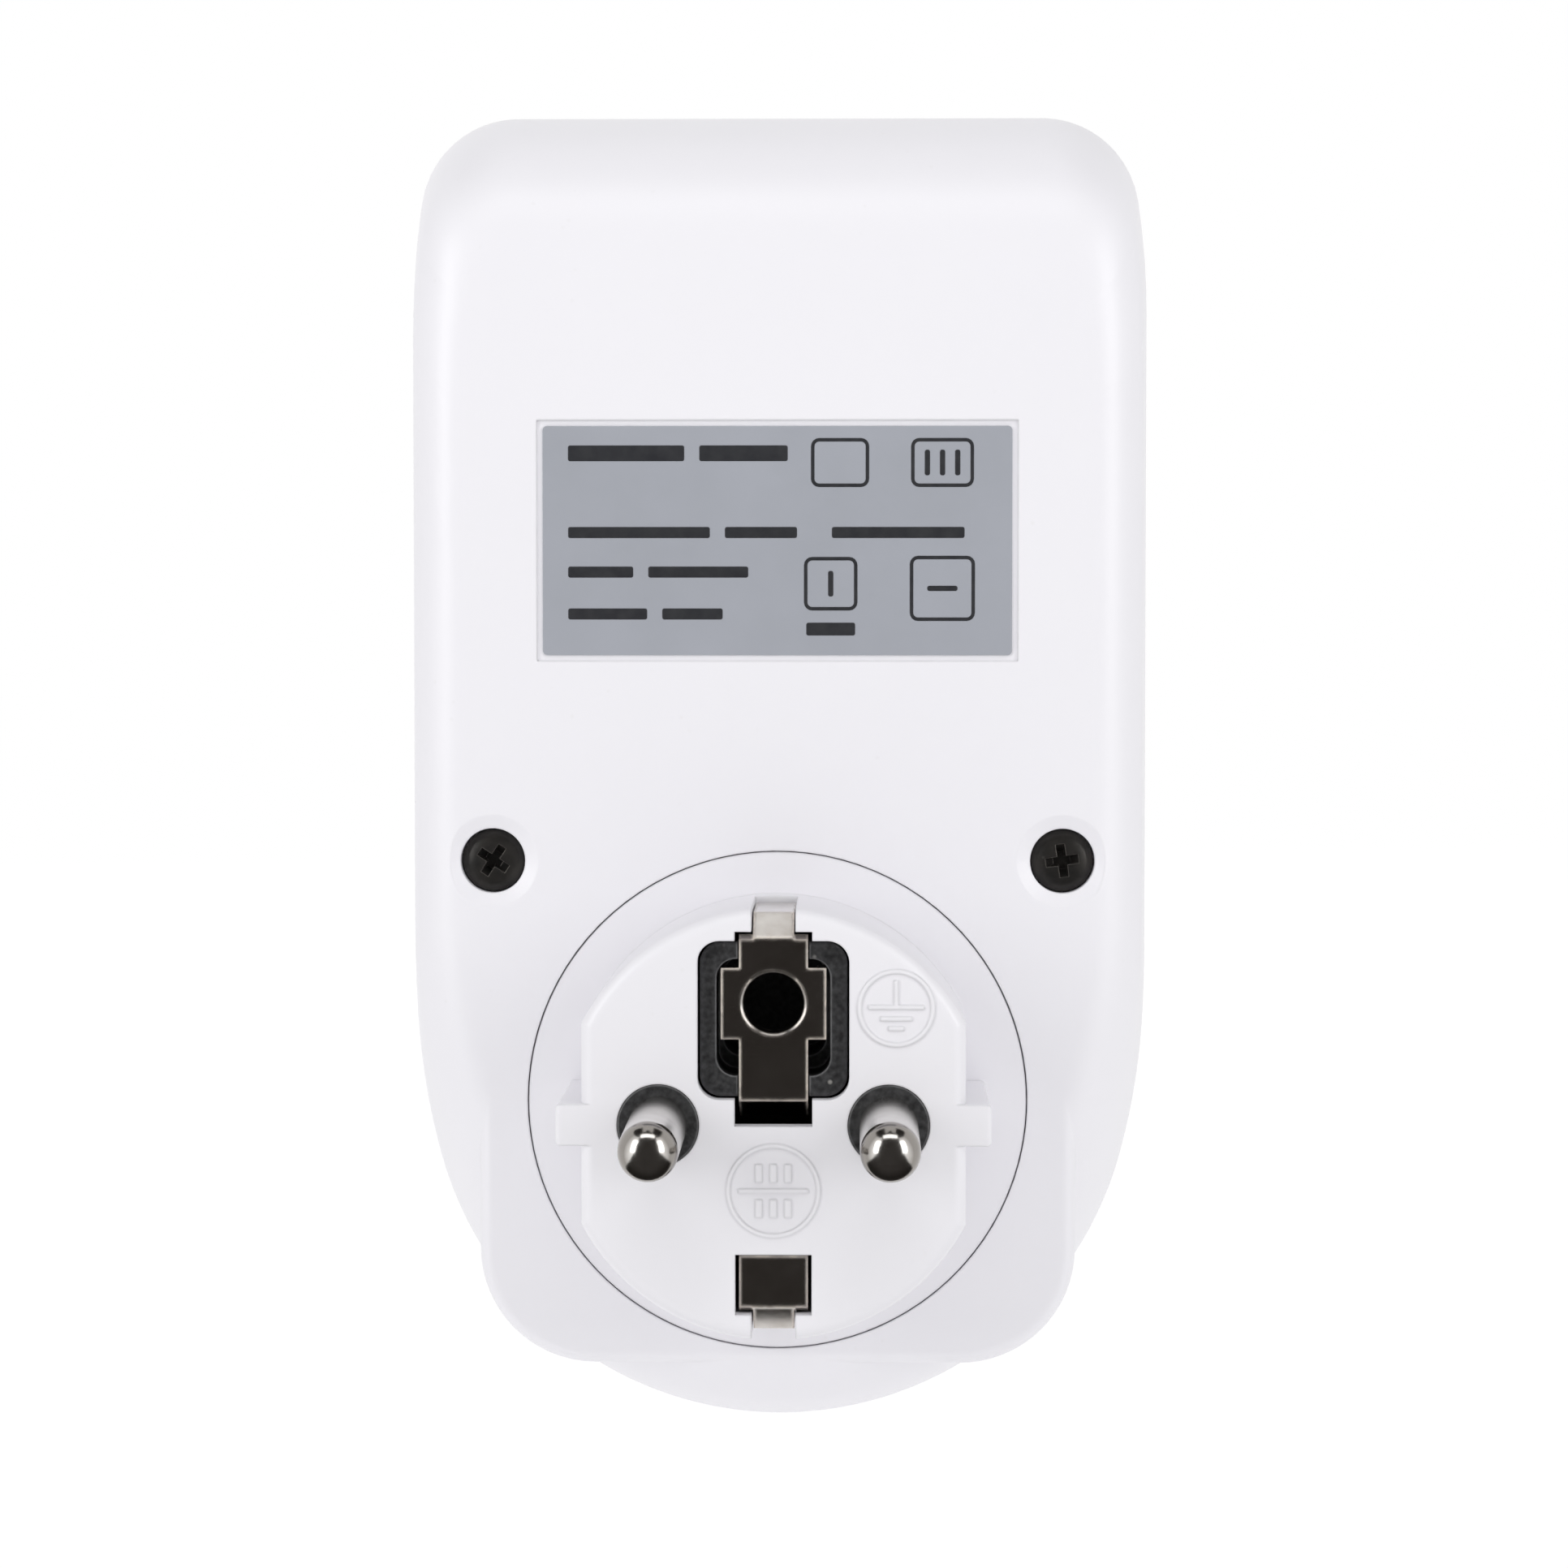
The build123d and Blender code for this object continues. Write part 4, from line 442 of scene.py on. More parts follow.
@dataclass(frozen=True)
class Finish:
    """An opaque finish.

    Attributes:
        base: Its main colour, linear.
        shade: The colour that it drifts to.
        roughness: Middle roughness.
        spread: How far the roughness swings.
        drift: Scale of the drift, per metre.
        metallic: 1 for bare metal.
        surface: How its small-scale surface is made.
        scale: Scale of the grain or lines, per metre.
        depth: Height of the grain or lines, in metres.
        stretch: For lines, how often they repeat along each axis.
        edge: Colour of its edges, partly rubbed wear and partly a painted edge highlight.
        edge_radius: How far its sharp edges look rounded, in metres.
        edge_amount: How strongly its edges take their colour of wear and painted highlight.
        edge_highlight_matt: How far its edges lose their metal gloss, so that a metal's edge colour
            shows as a painted highlight.
        dust: How much the dust specks show.
        coat: Weight of a clear coat.
        tip_reflection_band: Colour of a band across Y that paints a dark reflection onto the pins'
            domed tips, or nothing.
        tip_reflection_levels: The band's two Y levels, in metres.
    """

    base: Colour
    shade: Colour
    roughness: float = 0.4
    spread: float = 0.08
    drift: float = 60.0
    metallic: float = 0.0
    surface: Surface = Surface.GRAIN
    scale: float = 6000.0
    depth: float = 0.00001
    stretch: Triple = (1.0, 1.0, 1.0)
    edge: Colour | None = None
    edge_radius: float = 0.00012
    edge_amount: float = 0.3
    edge_highlight_matt: float = 0.0
    dust: float = 0.0
    coat: float = 0.0
    tip_reflection_band: Colour | None = None
    tip_reflection_levels: Point = (0.0, 0.0)

    def material(self, name: str, effects: "Effects") -> bpy.types.Material:
        """Make the finish's material.

        Args:
            name: The material's name.
            effects: The shared node groups.

        Returns:
            The material.
        """
        made, graph, shader = new_material(name)
        drift = effects.drift.place_in(graph, {
            "Base": (*self.base, 1.0), "Shade": (*self.shade, 1.0), "Scale": self.drift,
            "Roughness": self.roughness, "Spread": self.spread,
        })
        colour = drift["Color"]
        if self.surface is Surface.LINES:
            lines = effects.lines.place_in(graph, {"Stretch": self.stretch, "Scale": self.scale})
            height = lines["Height"]
        else:
            height = effects.grain.place_in(graph, {"Scale": self.scale})["Height"]
        if self.surface is Surface.BOARD:
            traces = effects.traces.place_in(graph, {})
            lighter = tuple(min(1.0, TRACK_LIFT * part) for part in self.base)
            colour = graph.mix(traces["Tracks"], colour, (*lighter, 1.0))
            colour = graph.mix(traces["Pads"], colour, (*PAD_COLOUR, 1.0))
        # Painted dark reflection: the band darkens the pins' tips as if they mirrored a dark room.
        if self.tip_reflection_band:
            colour = graph.mix(self.tip_reflection_mask(graph), colour, (*self.tip_reflection_band, 1.0))
        # Edge colour over the bevel's broken mask: partly rubbed wear, partly a painted edge
        # highlight.
        wear_and_highlight = effects.wear_and_highlight.place_in(graph, {"Radius": self.edge_radius})
        edge = self.edge or tuple(min(1.0, part * EDGE_LIFT + EDGE_LEAST) for part in self.base)
        wear_and_highlight_share = graph.math("MULTIPLY", wear_and_highlight["Mask"], self.edge_amount)
        colour = graph.mix(wear_and_highlight_share, colour, (*edge, 1.0))
        if self.dust:
            specks = effects.dust.place_in(graph, {"Cover": self.dust})["Mask"]
            colour = graph.mix(specks, colour, (*DUST_COLOUR, 1.0))
        graph.feed(shader.inputs["Base Color"], colour)
        graph.feed(shader.inputs["Roughness"], drift["Roughness"])
        # Matt edges let the edge colour show on metal as a painted highlight.
        if self.edge_highlight_matt:
            matt = self.metallic * (1.0 - self.edge_highlight_matt)
            gloss = graph.spread(wear_and_highlight_share, (0.0, self.metallic), (1.0, matt))
            graph.feed(shader.inputs["Metallic"], gloss)
        else:
            shader.inputs["Metallic"].default_value = self.metallic
        shader.inputs["Coat Weight"].default_value = self.coat
        shader.inputs["Coat Roughness"].default_value = COAT_ROUGHNESS
        bump = graph.node("ShaderNodeBump", {
            "Strength": 1.0, "Distance": self.depth, "Height": height, "Normal": wear_and_highlight["Normal"],
        })
        graph.feed(shader.inputs["Normal"], bump.outputs[0])
        return made

    def tip_reflection_mask(self, graph: Graph) -> bpy.types.NodeSocket:
        """Mask of the finish's band of painted dark tip reflection.

        Args:
            graph: The material's tree.

        Returns:
            1 between the band's two levels, and 0 beyond them.
        """
        level = graph.node("ShaderNodeSeparateXYZ", {0: graph.place()}).outputs["Y"]
        near, far = self.tip_reflection_levels
        past = graph.spread(level, (near, 0.0), (near + BAND_FADE, 1.0))
        before = graph.spread(level, (far - BAND_FADE, 1.0), (far, 0.0))
        return graph.math("MULTIPLY", past, before)


@dataclass(frozen=True)
class ClearFinish:
    """A clear or tinted see-through finish.

    Attributes:
        base: Its tint, linear.
        roughness: Middle roughness.
        transmission: 1 for clear glass or plastic.
        ior: Index of refraction.
    """

    base: Colour
    roughness: float = 0.03
    transmission: float = 1.0
    ior: float = 1.49

    def material(self, name: str, effects: "Effects") -> bpy.types.Material:
        """Make the finish's material.

        Args:
            name: The material's name.
            effects: The shared node groups.

        Returns:
            The material.
        """
        made, graph, shader = new_material(name)
        drift = effects.drift.place_in(graph, {
            "Base": (*self.base, 1.0), "Shade": (*(CLEAR_SHADE * part for part in self.base), 1.0),
            "Roughness": self.roughness, "Spread": CLEAR_SPREAD,
        })
        graph.feed(shader.inputs["Base Color"], drift["Color"])
        graph.feed(shader.inputs["Roughness"], drift["Roughness"])
        shader.inputs["Transmission Weight"].default_value = self.transmission
        shader.inputs["IOR"].default_value = self.ior
        return made


class Effects:
    """The shared node groups, each built once."""

    def __init__(self) -> None:
        """Build the groups."""
        self.drift = ToneDrift()
        self.grain = MouldedGrain()
        self.lines = ToolLines()
        self.wear_and_highlight = EdgeWearAndHighlight()
        self.dust = FineDust()
        self.traces = CopperTraces()


# Each finish's edge colour, lighter than its base, is partly rubbed wear and partly a painted edge
# highlight.
FINISHES: dict[str, Finish | ClearFinish] = {
    "white_housing": Finish((0.86, 0.85, 0.885), (0.848, 0.838, 0.874), 0.37, 0.06, 25.0,
                            scale=2600.0, depth=0.000004, edge=(0.9, 0.9, 0.92),
                            edge_radius=0.0003, edge_amount=0.35, dust=0.12),
    "label_silver": Finish((0.37, 0.385, 0.43), (0.345, 0.36, 0.4), 0.42, 0.08, 120.0,
                           scale=9000.0, depth=0.000006, edge=(0.6, 0.62, 0.65),
                           edge_radius=0.0001, edge_amount=0.8),
    # The black plastic's light grey edges are mostly a painted bevel highlight.
    "black_plastic": Finish((0.052, 0.052, 0.054), (0.014, 0.014, 0.015), 0.42, 0.2, 2200.0,
                            scale=5200.0, depth=0.00003, edge=(0.2, 0.2, 0.205),
                            edge_radius=0.00032, edge_amount=0.9, dust=0.6),
    # The band on the nickel pins is painted dark reflection across their domed tips.
    "nickel": Finish((0.76, 0.74, 0.71), (0.6, 0.575, 0.545), 0.17, 0.1, 700.0, metallic=1.0,
                     surface=Surface.LINES, scale=2500.0, depth=0.000003, stretch=ALONG_PIN,
                     edge_radius=0.00015, edge_amount=0.2, dust=0.3,
                     tip_reflection_band=(0.3, 0.28, 0.26), tip_reflection_levels=(0.0346, 0.0368)),
    # The strips' cream, matt edges are a painted highlight standing in for the light their rounded
    # folds would mirror.
    "earth_strip": Finish((0.64, 0.61, 0.58), (0.5, 0.465, 0.43), 0.13, 0.06, 350.0, metallic=1.0,
                          surface=Surface.LINES, scale=2500.0, depth=0.000004, stretch=ALONG_STRIP,
                          edge=(0.95, 0.85, 0.74), edge_radius=0.0005, edge_amount=1.0,
                          edge_highlight_matt=0.85, dust=0.25),
    "screw_black": Finish((0.028, 0.027, 0.026), (0.05, 0.046, 0.042), 0.34, 0.15, 600.0,
                          metallic=0.6, scale=4200.0, depth=0.00001, edge=(0.3, 0.28, 0.25),
                          edge_radius=0.0001, edge_amount=0.5, dust=0.4),
    "screw_steel": Finish((0.55, 0.54, 0.52), (0.48, 0.47, 0.45), 0.28, 0.1, 400.0, metallic=1.0,
                          surface=Surface.LINES, scale=4000.0, depth=0.000004, stretch=ALONG_PIN),
    "brass_bar": Finish((0.72, 0.54, 0.24), (0.6, 0.42, 0.17), 0.3, 0.12, 260.0, metallic=1.0,
                        surface=Surface.LINES, scale=3000.0, depth=0.000005,
                        stretch=(1.0, 1.0, 0.05), edge=(0.9, 0.75, 0.45)),
    "contact_base_grey": Finish((0.3, 0.31, 0.32), (0.26, 0.27, 0.28), 0.5, depth=0.00001),
    "shutter_grey": Finish((0.5, 0.5, 0.51), (0.46, 0.46, 0.47), 0.42, depth=0.00001),
    "spring_steel": Finish((0.52, 0.51, 0.5), (0.42, 0.41, 0.4), 0.25, metallic=1.0,
                           surface=Surface.LINES, scale=3000.0, depth=0.000004),
    "display_window": ClearFinish((0.98, 0.98, 0.98)),
    "display_glass": Finish((0.36, 0.4, 0.33), (0.34, 0.38, 0.31), 0.12, 0.04, 80.0,
                            scale=9000.0, depth=0.000001),
    "connector_rubber": Finish((0.6, 0.6, 0.58), (0.25, 0.25, 0.25), 0.7, drift=900.0),
    "board_green": Finish((0.02, 0.13, 0.05), (0.015, 0.1, 0.04), 0.35, surface=Surface.BOARD,
                          scale=9000.0, depth=0.000004, coat=0.3),
    "chip_black": Finish((0.02, 0.02, 0.021), (0.03, 0.03, 0.03), 0.55, scale=9000.0),
    "cell_steel": Finish((0.66, 0.65, 0.63), (0.6, 0.59, 0.57), 0.25, metallic=1.0,
                         surface=Surface.LINES, scale=2500.0, depth=0.000003),
    "header_white": Finish((0.78, 0.77, 0.72), (0.74, 0.73, 0.68), 0.45),
    "lamp_red": ClearFinish((0.75, 0.03, 0.02), 0.12, 0.75),
    "button_grey": Finish((0.33, 0.34, 0.36), (0.3, 0.31, 0.33), 0.42, 0.08, 120.0,
                          scale=7000.0, depth=0.00001, edge=(0.45, 0.46, 0.48), edge_amount=0.4),
    "switch_black": Finish((0.025, 0.025, 0.026), (0.035, 0.035, 0.035), 0.5),
    "relay_blue": Finish((0.03, 0.11, 0.36), (0.025, 0.09, 0.3), 0.35, edge=(0.1, 0.2, 0.5)),
    "film_red": Finish((0.5, 0.09, 0.04), (0.42, 0.07, 0.03), 0.3, coat=0.4),
    "can_black": Finish((0.02, 0.02, 0.03), (0.03, 0.03, 0.04), 0.3, coat=0.3),
    "varistor_blue": Finish((0.03, 0.1, 0.35), (0.03, 0.08, 0.28), 0.28, coat=0.4),
    "fuse_green": Finish((0.06, 0.25, 0.12), (0.05, 0.2, 0.1), 0.35),
    "ribbon_grey": Finish((0.45, 0.45, 0.45), (0.36, 0.36, 0.37), 0.5, surface=Surface.LINES,
                          scale=1600.0, depth=0.00003, stretch=(1.0, 0.02, 0.02)),
}
EXTRA_FINISHES: dict[str, Finish | ClearFinish] = {
    "label_ink": Finish((0.022, 0.023, 0.028), (0.035, 0.036, 0.04), 0.4, 0.1, 700.0,
                        scale=8000.0, depth=0.000004, edge_amount=0.1),
    "display_dark": Finish((0.012, 0.014, 0.014), (0.02, 0.022, 0.02), 0.25, 0.05, 300.0),
    "button_print": Finish((0.8, 0.8, 0.8), (0.74, 0.74, 0.74), 0.4, 0.1, 400.0),
    "window_print": Finish((0.025, 0.026, 0.03), (0.03, 0.03, 0.035), 0.18, 0.05, 200.0, coat=0.5),
}


class Wardrobe:
    """Makes each finish's material once, and dresses objects with it."""

    def __init__(self) -> None:
        """Build the shared effects."""
        self.effects = Effects()
        self.made: dict[str, bpy.types.Material] = {}

    def material(self, finish: str) -> bpy.types.Material:
        """Give the material of a finish, made when it is first asked for.

        Args:
            finish: The finish's name.

        Returns:
            The material.
        """
        if finish not in self.made:
            chosen = FINISHES.get(finish) or EXTRA_FINISHES[finish]
            self.made[finish] = chosen.material(f"{finish}_finish", self.effects)
        return self.made[finish]

    def dress(self, piece: bpy.types.Object, finish: str) -> None:
        """Give a piece one finish all over."""
        piece.data.materials.clear()
        piece.data.materials.append(self.material(finish))

    def dress_frame(self) -> None:
        """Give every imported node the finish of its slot."""
        for name, node in sorted(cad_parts.items()):
            finish = node.data.materials[0].name
            self.dress(node, finish)
            LOG.info("node %s: %s", name, finish)


# ---------------------------------------------------------------------------------- mesh helpers


SHORTEST_SIDE = 1e-4
ON_AXIS = 1e-6


def to_metres(mesh: bmesh.types.BMesh) -> None:
    """Take a bmesh from millimetres to metres, and turn its faces outwards."""
    bmesh.ops.scale(mesh, vec=(MM, MM, MM), verts=mesh.verts)
    bmesh.ops.recalc_face_normals(mesh, faces=mesh.faces)


def object_of(name: str, mesh: bmesh.types.BMesh) -> bpy.types.Object:
    """Turn a bmesh into an object of the scene.

    Args:
        name: The object's name.
        mesh: Its mesh, in metres, which is freed.

    Returns:
        The object.
    """
    data = bpy.data.meshes.new(name)
    mesh.to_mesh(data)
    mesh.free()
    made = bpy.data.objects.new(name, data)
    bpy.context.scene.collection.objects.link(made)
    return made


def new_piece(name: str, mesh: bmesh.types.BMesh, body: str) -> bpy.types.Object:
    """Turn a bmesh into a piece that rides on a body.

    Args:
        name: The piece's name.
        mesh: Its mesh, in millimetres, which is freed.
        body: The body that it rides on.

    Returns:
        The piece.
    """
    to_metres(mesh)
    piece = object_of(name, mesh)
    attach(piece, body)
    return piece


def join_loops(mesh: bmesh.types.BMesh, first: Sequence[bmesh.types.BMVert],
               second: Sequence[bmesh.types.BMVert]) -> None:
    """Join two closed loops of as many corners by a wall of four-sided faces.

    Args:
        mesh: The mesh.
        first: The corners of one loop, in order.
        second: The corners of the other one, in the same order.
    """
    for index in range(len(first)):
        after = (index + 1) % len(first)
        mesh.faces.new((first[index], second[index], second[after], first[after]))


def tapered(mesh: bmesh.types.BMesh, ends: Sequence[tuple[Sequence[Point], float]]) -> None:
    """Add a closed body between two outlines of as many corners.

    Args:
        mesh: The mesh.
        ends: For each end its outline, as (x, z) corners in order, and its Y level.
    """
    first, second = ([mesh.verts.new((x, y, z)) for x, z in outline] for outline, y in ends)
    mesh.faces.new(first)
    mesh.faces.new(list(reversed(second)))
    join_loops(mesh, first, second)


def prism(mesh: bmesh.types.BMesh, outline: Sequence[Point], back: float, front: float) -> None:
    """Add a closed prism along Y to a mesh.

    Args:
        mesh: The mesh.
        outline: The (x, z) corners of its face, in order.
        back: Its Y level nearer the rear.
        front: Its Y level nearer the front.
    """
    tapered(mesh, ((outline, back), (outline, front)))


def frame_prism(mesh: bmesh.types.BMesh, outer: Sequence[Point], inner: Sequence[Point],
                back: float, front: float) -> None:
    """Add a closed prism with a hole through it, between two outlines of as many corners.

    Args:
        mesh: The mesh.
        outer: The (x, z) corners of its outside, in order.
        inner: The (x, z) corners of its hole, in order.
        back: Its Y level nearer the rear.
        front: Its Y level nearer the front.
    """
    levels = ((outer, back), (outer, front), (inner, front), (inner, back))
    loops = [[mesh.verts.new((x, y, z)) for x, z in ring] for ring, y in levels]
    for first, second in zip(loops, loops[1:] + loops[:1]):
        join_loops(mesh, first, second)


def rounded(size: Point, centre: Point, corner: float, steps: int = 4) -> list[Point]:
    """Corners of a rectangle with rounded corners.

    Args:
        size: Its width and height.
        centre: Its middle.
        corner: The corners' radius.
        steps: Edges in each corner.

    Returns:
        The (x, z) points, in order.
    """
    corner = min(corner, size[0] / 2 - SHORTEST_SIDE, size[1] / 2 - SHORTEST_SIDE)
    half_x, half_z = size[0] / 2 - corner, size[1] / 2 - corner
    points = []
    for turn, (sign_x, sign_z) in enumerate(((1, 1), (-1, 1), (-1, -1), (1, -1))):
        for step in range(steps + 1):
            angle = math.pi / 2 * (turn + step / steps)
            points.append((centre[0] + sign_x * half_x + corner * math.cos(angle),
                           centre[1] + sign_z * half_z + corner * math.sin(angle)))
    return points


def lathe(mesh: bmesh.types.BMesh, profile: Sequence[Point], centre: Point,
          steps: int = 96) -> None:
    """Add a body turned round an axis along Y.

    Args:
        mesh: The mesh.
        profile: (radius, y) points from one end on the axis to the other end on the axis.
        centre: The axis's (x, z).
        steps: Sides round the axis.
    """
    rings: list[list[bmesh.types.BMVert]] = []
    for radius, y in profile:
        if radius < ON_AXIS:
            rings.append([mesh.verts.new((centre[0], y, centre[1]))])
            continue
        ring = []
        for step in range(steps):
            angle = 2 * math.pi * step / steps
            ring.append(mesh.verts.new((centre[0] + radius * math.cos(angle), y,
                                        centre[1] + radius * math.sin(angle))))
        rings.append(ring)
    for first, second in zip(rings, rings[1:]):
        for step in range(steps):
            after = (step + 1) % steps
            corners = [first[step % len(first)], first[after % len(first)],
                       second[after % len(second)], second[step % len(second)]]
            mesh.faces.new(list(dict.fromkeys(corners)))


def smooth(piece: bpy.types.Object, angle: float) -> None:
    """Shade a piece smooth, apart from its sharp edges.

    Args:
        piece: The piece.
        angle: How far its faces turn at a sharp edge, in degrees.
    """
    data = piece.data
    data.shade_smooth()
    work = bmesh.new()
    work.from_mesh(data)
    for edge in work.edges:
        edge.smooth = len(edge.link_faces) != 2 or edge.calc_face_angle(0.0) < math.radians(angle)
    work.to_mesh(data)
    work.free()


# ------------------------------------------------------------------------------------ the pieces


@dataclass
class RatingPrint:
    """Generic bars and boxes printed on the rear label.

    Attributes:
        level: Y level of the label's face.
        ink: Thickness of the print.
        sunk: How far the print reaches into the label.
        left: X of the text block's left edge, seen from the rear.
        word_gap: Gap between the bars of a line.
        corner: Radius of the bars' corners.
        outline: Width of a box's outline.
        box_corners: Radius of a box's outer and inner corners.
        rows: For each line its Z, the widths of its bars and their height.
        bars: Size and middle of each single bar.
        boxes: Size and middle of each box.
    """

    level: float = -0.1
    ink: float = 0.02
    sunk: float = 0.01
    left: float = 18.0
    word_gap: float = 1.3
    corner: float = 0.18
    outline: float = 0.3
    box_corners: Point = (0.7, 0.4)
    rows: tuple[tuple[float, tuple[float, ...], float], ...] = (
        (55.8, (10.0, 7.6), 1.35),
        (49.0, (12.2, 6.2), 0.95),
        (45.6, (5.6, 8.6), 0.95),
        (42.0, (6.8, 5.2), 0.95),
    )
    bars: tuple[tuple[Point, Point], ...] = (
        ((11.4, 0.95), (-10.4, 49.0)), ((4.2, 1.1), (-4.6, 40.7)),
        ((0.45, 2.2), (-12.9, 55.0)), ((0.45, 2.2), (-14.2, 55.0)), ((0.45, 2.2), (-15.5, 55.0)),
        ((2.6, 0.45), (-14.2, 44.2)), ((0.45, 2.2), (-4.6, 44.6)),
    )
    boxes: tuple[tuple[Point, Point], ...] = (
        ((5.0, 4.2), (-5.4, 55.0)), ((5.4, 4.2), (-14.2, 55.0)),
        ((4.6, 4.6), (-4.6, 44.6)), ((5.6, 5.6), (-14.2, 44.2)),
    )

    def build(self, wardrobe: Wardrobe) -> list[bpy.types.Object]:
        """Make and dress the print.

        Args:
            wardrobe: Where its finish comes from.

        Returns:
            The one piece.
        """
        mesh = bmesh.new()
        for z, words, height in self.rows:
            x = self.left
            for width in words:
                self.bar(mesh, (width, height), (x - width / 2, z))
                x -= width + self.word_gap
        for size, centre in self.bars:
            self.bar(mesh, size, centre)
        for size, centre in self.boxes:
            self.box(mesh, size, centre)
        piece = new_piece("label_print", mesh, ROOT_BODY)
        wardrobe.dress(piece, "label_ink")
        return [piece]

    def bar(self, mesh: bmesh.types.BMesh, size: Point, centre: Point) -> None:
        """Add one filled bar."""
        outline = rounded(size, centre, self.corner)
        prism(mesh, outline, self.level + self.ink, self.level - self.sunk)

    def box(self, mesh: bmesh.types.BMesh, size: Point, centre: Point) -> None:
        """Add one empty box with a printed outline.

        Args:
            mesh: The mesh.
            size: The box's width and height.
            centre: Its middle.
        """
        inner = (size[0] - 2 * self.outline, size[1] - 2 * self.outline)
        outlines = [rounded(part, centre, corner)
                    for part, corner in zip((size, inner), self.box_corners)]
        frame_prism(mesh, *outlines, self.level + self.ink, self.level - self.sunk)


@dataclass
class HousingScrews:
    """Two black cross-recess screws in the rear casing's dished holes.

    Attributes:
        setback: X of each screw's axis.
        height: Z of each screw's axis.
        head: Radius of the head.
        top: Y level of the head's crown.
        dome: Height of the head's domed part.
        dome_power: Power of the sine that shapes the dome.
        dome_steps: Edges along the dome.
        seat: Y level under the head.
        bevel: Bevel of the head's lower edge.
        shank: Radius of the shank.
        length: Length under the head.
        collar: Length of the shank before its thread.
        thread: Depth of the thread.
        pitch: Distance from one turn of the thread to the next.
        groove: Where a groove's floor starts, where it ends and where the crest is reached again.
        runout: Length at the end that takes no further turn.
        point: Radius at the start of the point, and the point's length.
        tip: Radius of the point's end.
        recess: Depth of the cross recess.
        rise: How far the recess's cutter starts above the crown.
        mouth: Reach and half width of the cross there.
        bottom: The same at the bottom of the recess.
        turns: Turn of the left and of the right cross, in degrees.
        sharp: Angle from which an edge stays sharp, in degrees.
    """

    setback: float = 24.6
    height: float = 20.7
    head: float = 2.68
    top: float = -0.92
    dome: float = 0.75
    dome_power: float = 0.9
    dome_steps: int = 8
    seat: float = -2.9
    bevel: float = 0.15
    shank: float = 1.45
    length: float = 25.9
    collar: float = 0.6
    thread: float = 0.32
    pitch: float = 0.8
    groove: Triple = (0.25, 0.45, 0.7)
    runout: float = 2.4
    point: Point = (1.1, 1.4)
    tip: float = 0.25
    recess: float = 1.35
    rise: float = 0.4
    mouth: Point = (1.72, 0.42)
    bottom: Point = (0.75, 0.3)
    turns: Point = (33.0, -8.0)
    sharp: float = 28.0

    def build(self, wardrobe: Wardrobe) -> list[bpy.types.Object]:
        """Make and dress both screws.

        Args:
            wardrobe: Where their finish comes from.

        Returns:
            The two pieces.
        """
        pieces = []
        for side, turn in zip(Side, self.turns):
            centre = (side.value * self.setback, self.height)
            piece = self.screw(f"housing_screw_{side.name.lower()}", centre, turn)
            wardrobe.dress(piece, "screw_black")
            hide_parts("housing_screws")
            pieces.append(piece)
        return pieces

    def screw(self, name: str, centre: Point, turn: float) -> bpy.types.Object:
        """Make one screw.

        Args:
            name: The piece's name.
            centre: Its axis's (x, z).
            turn: Turn of its cross, in degrees.

        Returns:
            The piece.
        """
        mesh = bmesh.new()
        lathe(mesh, self.profile(), centre)
        piece = new_piece(name, mesh, ROOT_BODY)
        cutter = self.cutter(centre, turn)
        cut = piece.modifiers.new("recess", "BOOLEAN")
        cut.operation, cut.solver, cut.object = "DIFFERENCE", "EXACT", cutter
        graph = bpy.context.evaluated_depsgraph_get()
        finished = bpy.data.meshes.new_from_object(piece.evaluated_get(graph))
        piece.modifiers.clear()
        piece.data = finished
        bpy.data.objects.remove(cutter)
        smooth(piece, self.sharp)
        return piece

    def profile(self) -> list[Point]:
        """Half outline of the screw: domed pan head, threaded shank and point.

        Returns:
            Its (radius, y) corners, from the crown to the tip.
        """
        points = [(0.0, self.top)]
        for step in range(1, self.dome_steps + 1):
            angle = math.pi / 2 * step / self.dome_steps
            points.append((self.head * math.sin(angle) ** self.dome_power,
                           self.top - self.dome + self.dome * math.cos(angle)))
        y, end = self.seat - self.collar, self.seat - self.length
        points += [(self.head, self.seat + self.bevel), (self.head - self.bevel, self.seat),
                   (self.shank, self.seat), (self.shank, y)]
        root = self.shank - self.thread
        while y > end + self.runout:
            points += [(radius, y - step)
                       for radius, step in zip((root, root, self.shank), self.groove)]
            y -= self.pitch
        return points + [(self.point[0], end + self.point[1]), (self.tip, end), (0.0, end)]

    def cutter(self, centre: Point, turn: float) -> bpy.types.Object:
        """Make the tapered cross that cuts a recess.

        Args:
            centre: Its middle.
            turn: Its turn, in degrees.

        Returns:
            The cutter, which isn't a piece.
        """
        mesh = bmesh.new()
        tapered(mesh, ((self.cross(centre, turn, *self.mouth), self.top + self.rise),
                       (self.cross(centre, turn, *self.bottom), self.top - self.recess)))
        to_metres(mesh)
        return object_of("recess_cutter", mesh)

    @staticmethod
    def cross(centre: Point, turn: float, reach: float, half: float) -> list[Point]:
        """Outline of a cross.

        Args:
            centre: Its middle.
            turn: Its turn, in degrees.
            reach: From its middle to the end of an arm.
            half: Half of an arm's width.

        Returns:
            Its (x, z) corners, in order.
        """
        points = []
        for quarter in range(4):
            angle = math.radians(turn + 90.0 * quarter)
            for along, across in ((reach, -half), (reach, half), (half, half)):
                points.append((centre[0] + along * math.cos(angle) - across * math.sin(angle),
                               centre[1] + along * math.sin(angle) + across * math.cos(angle)))
        return points


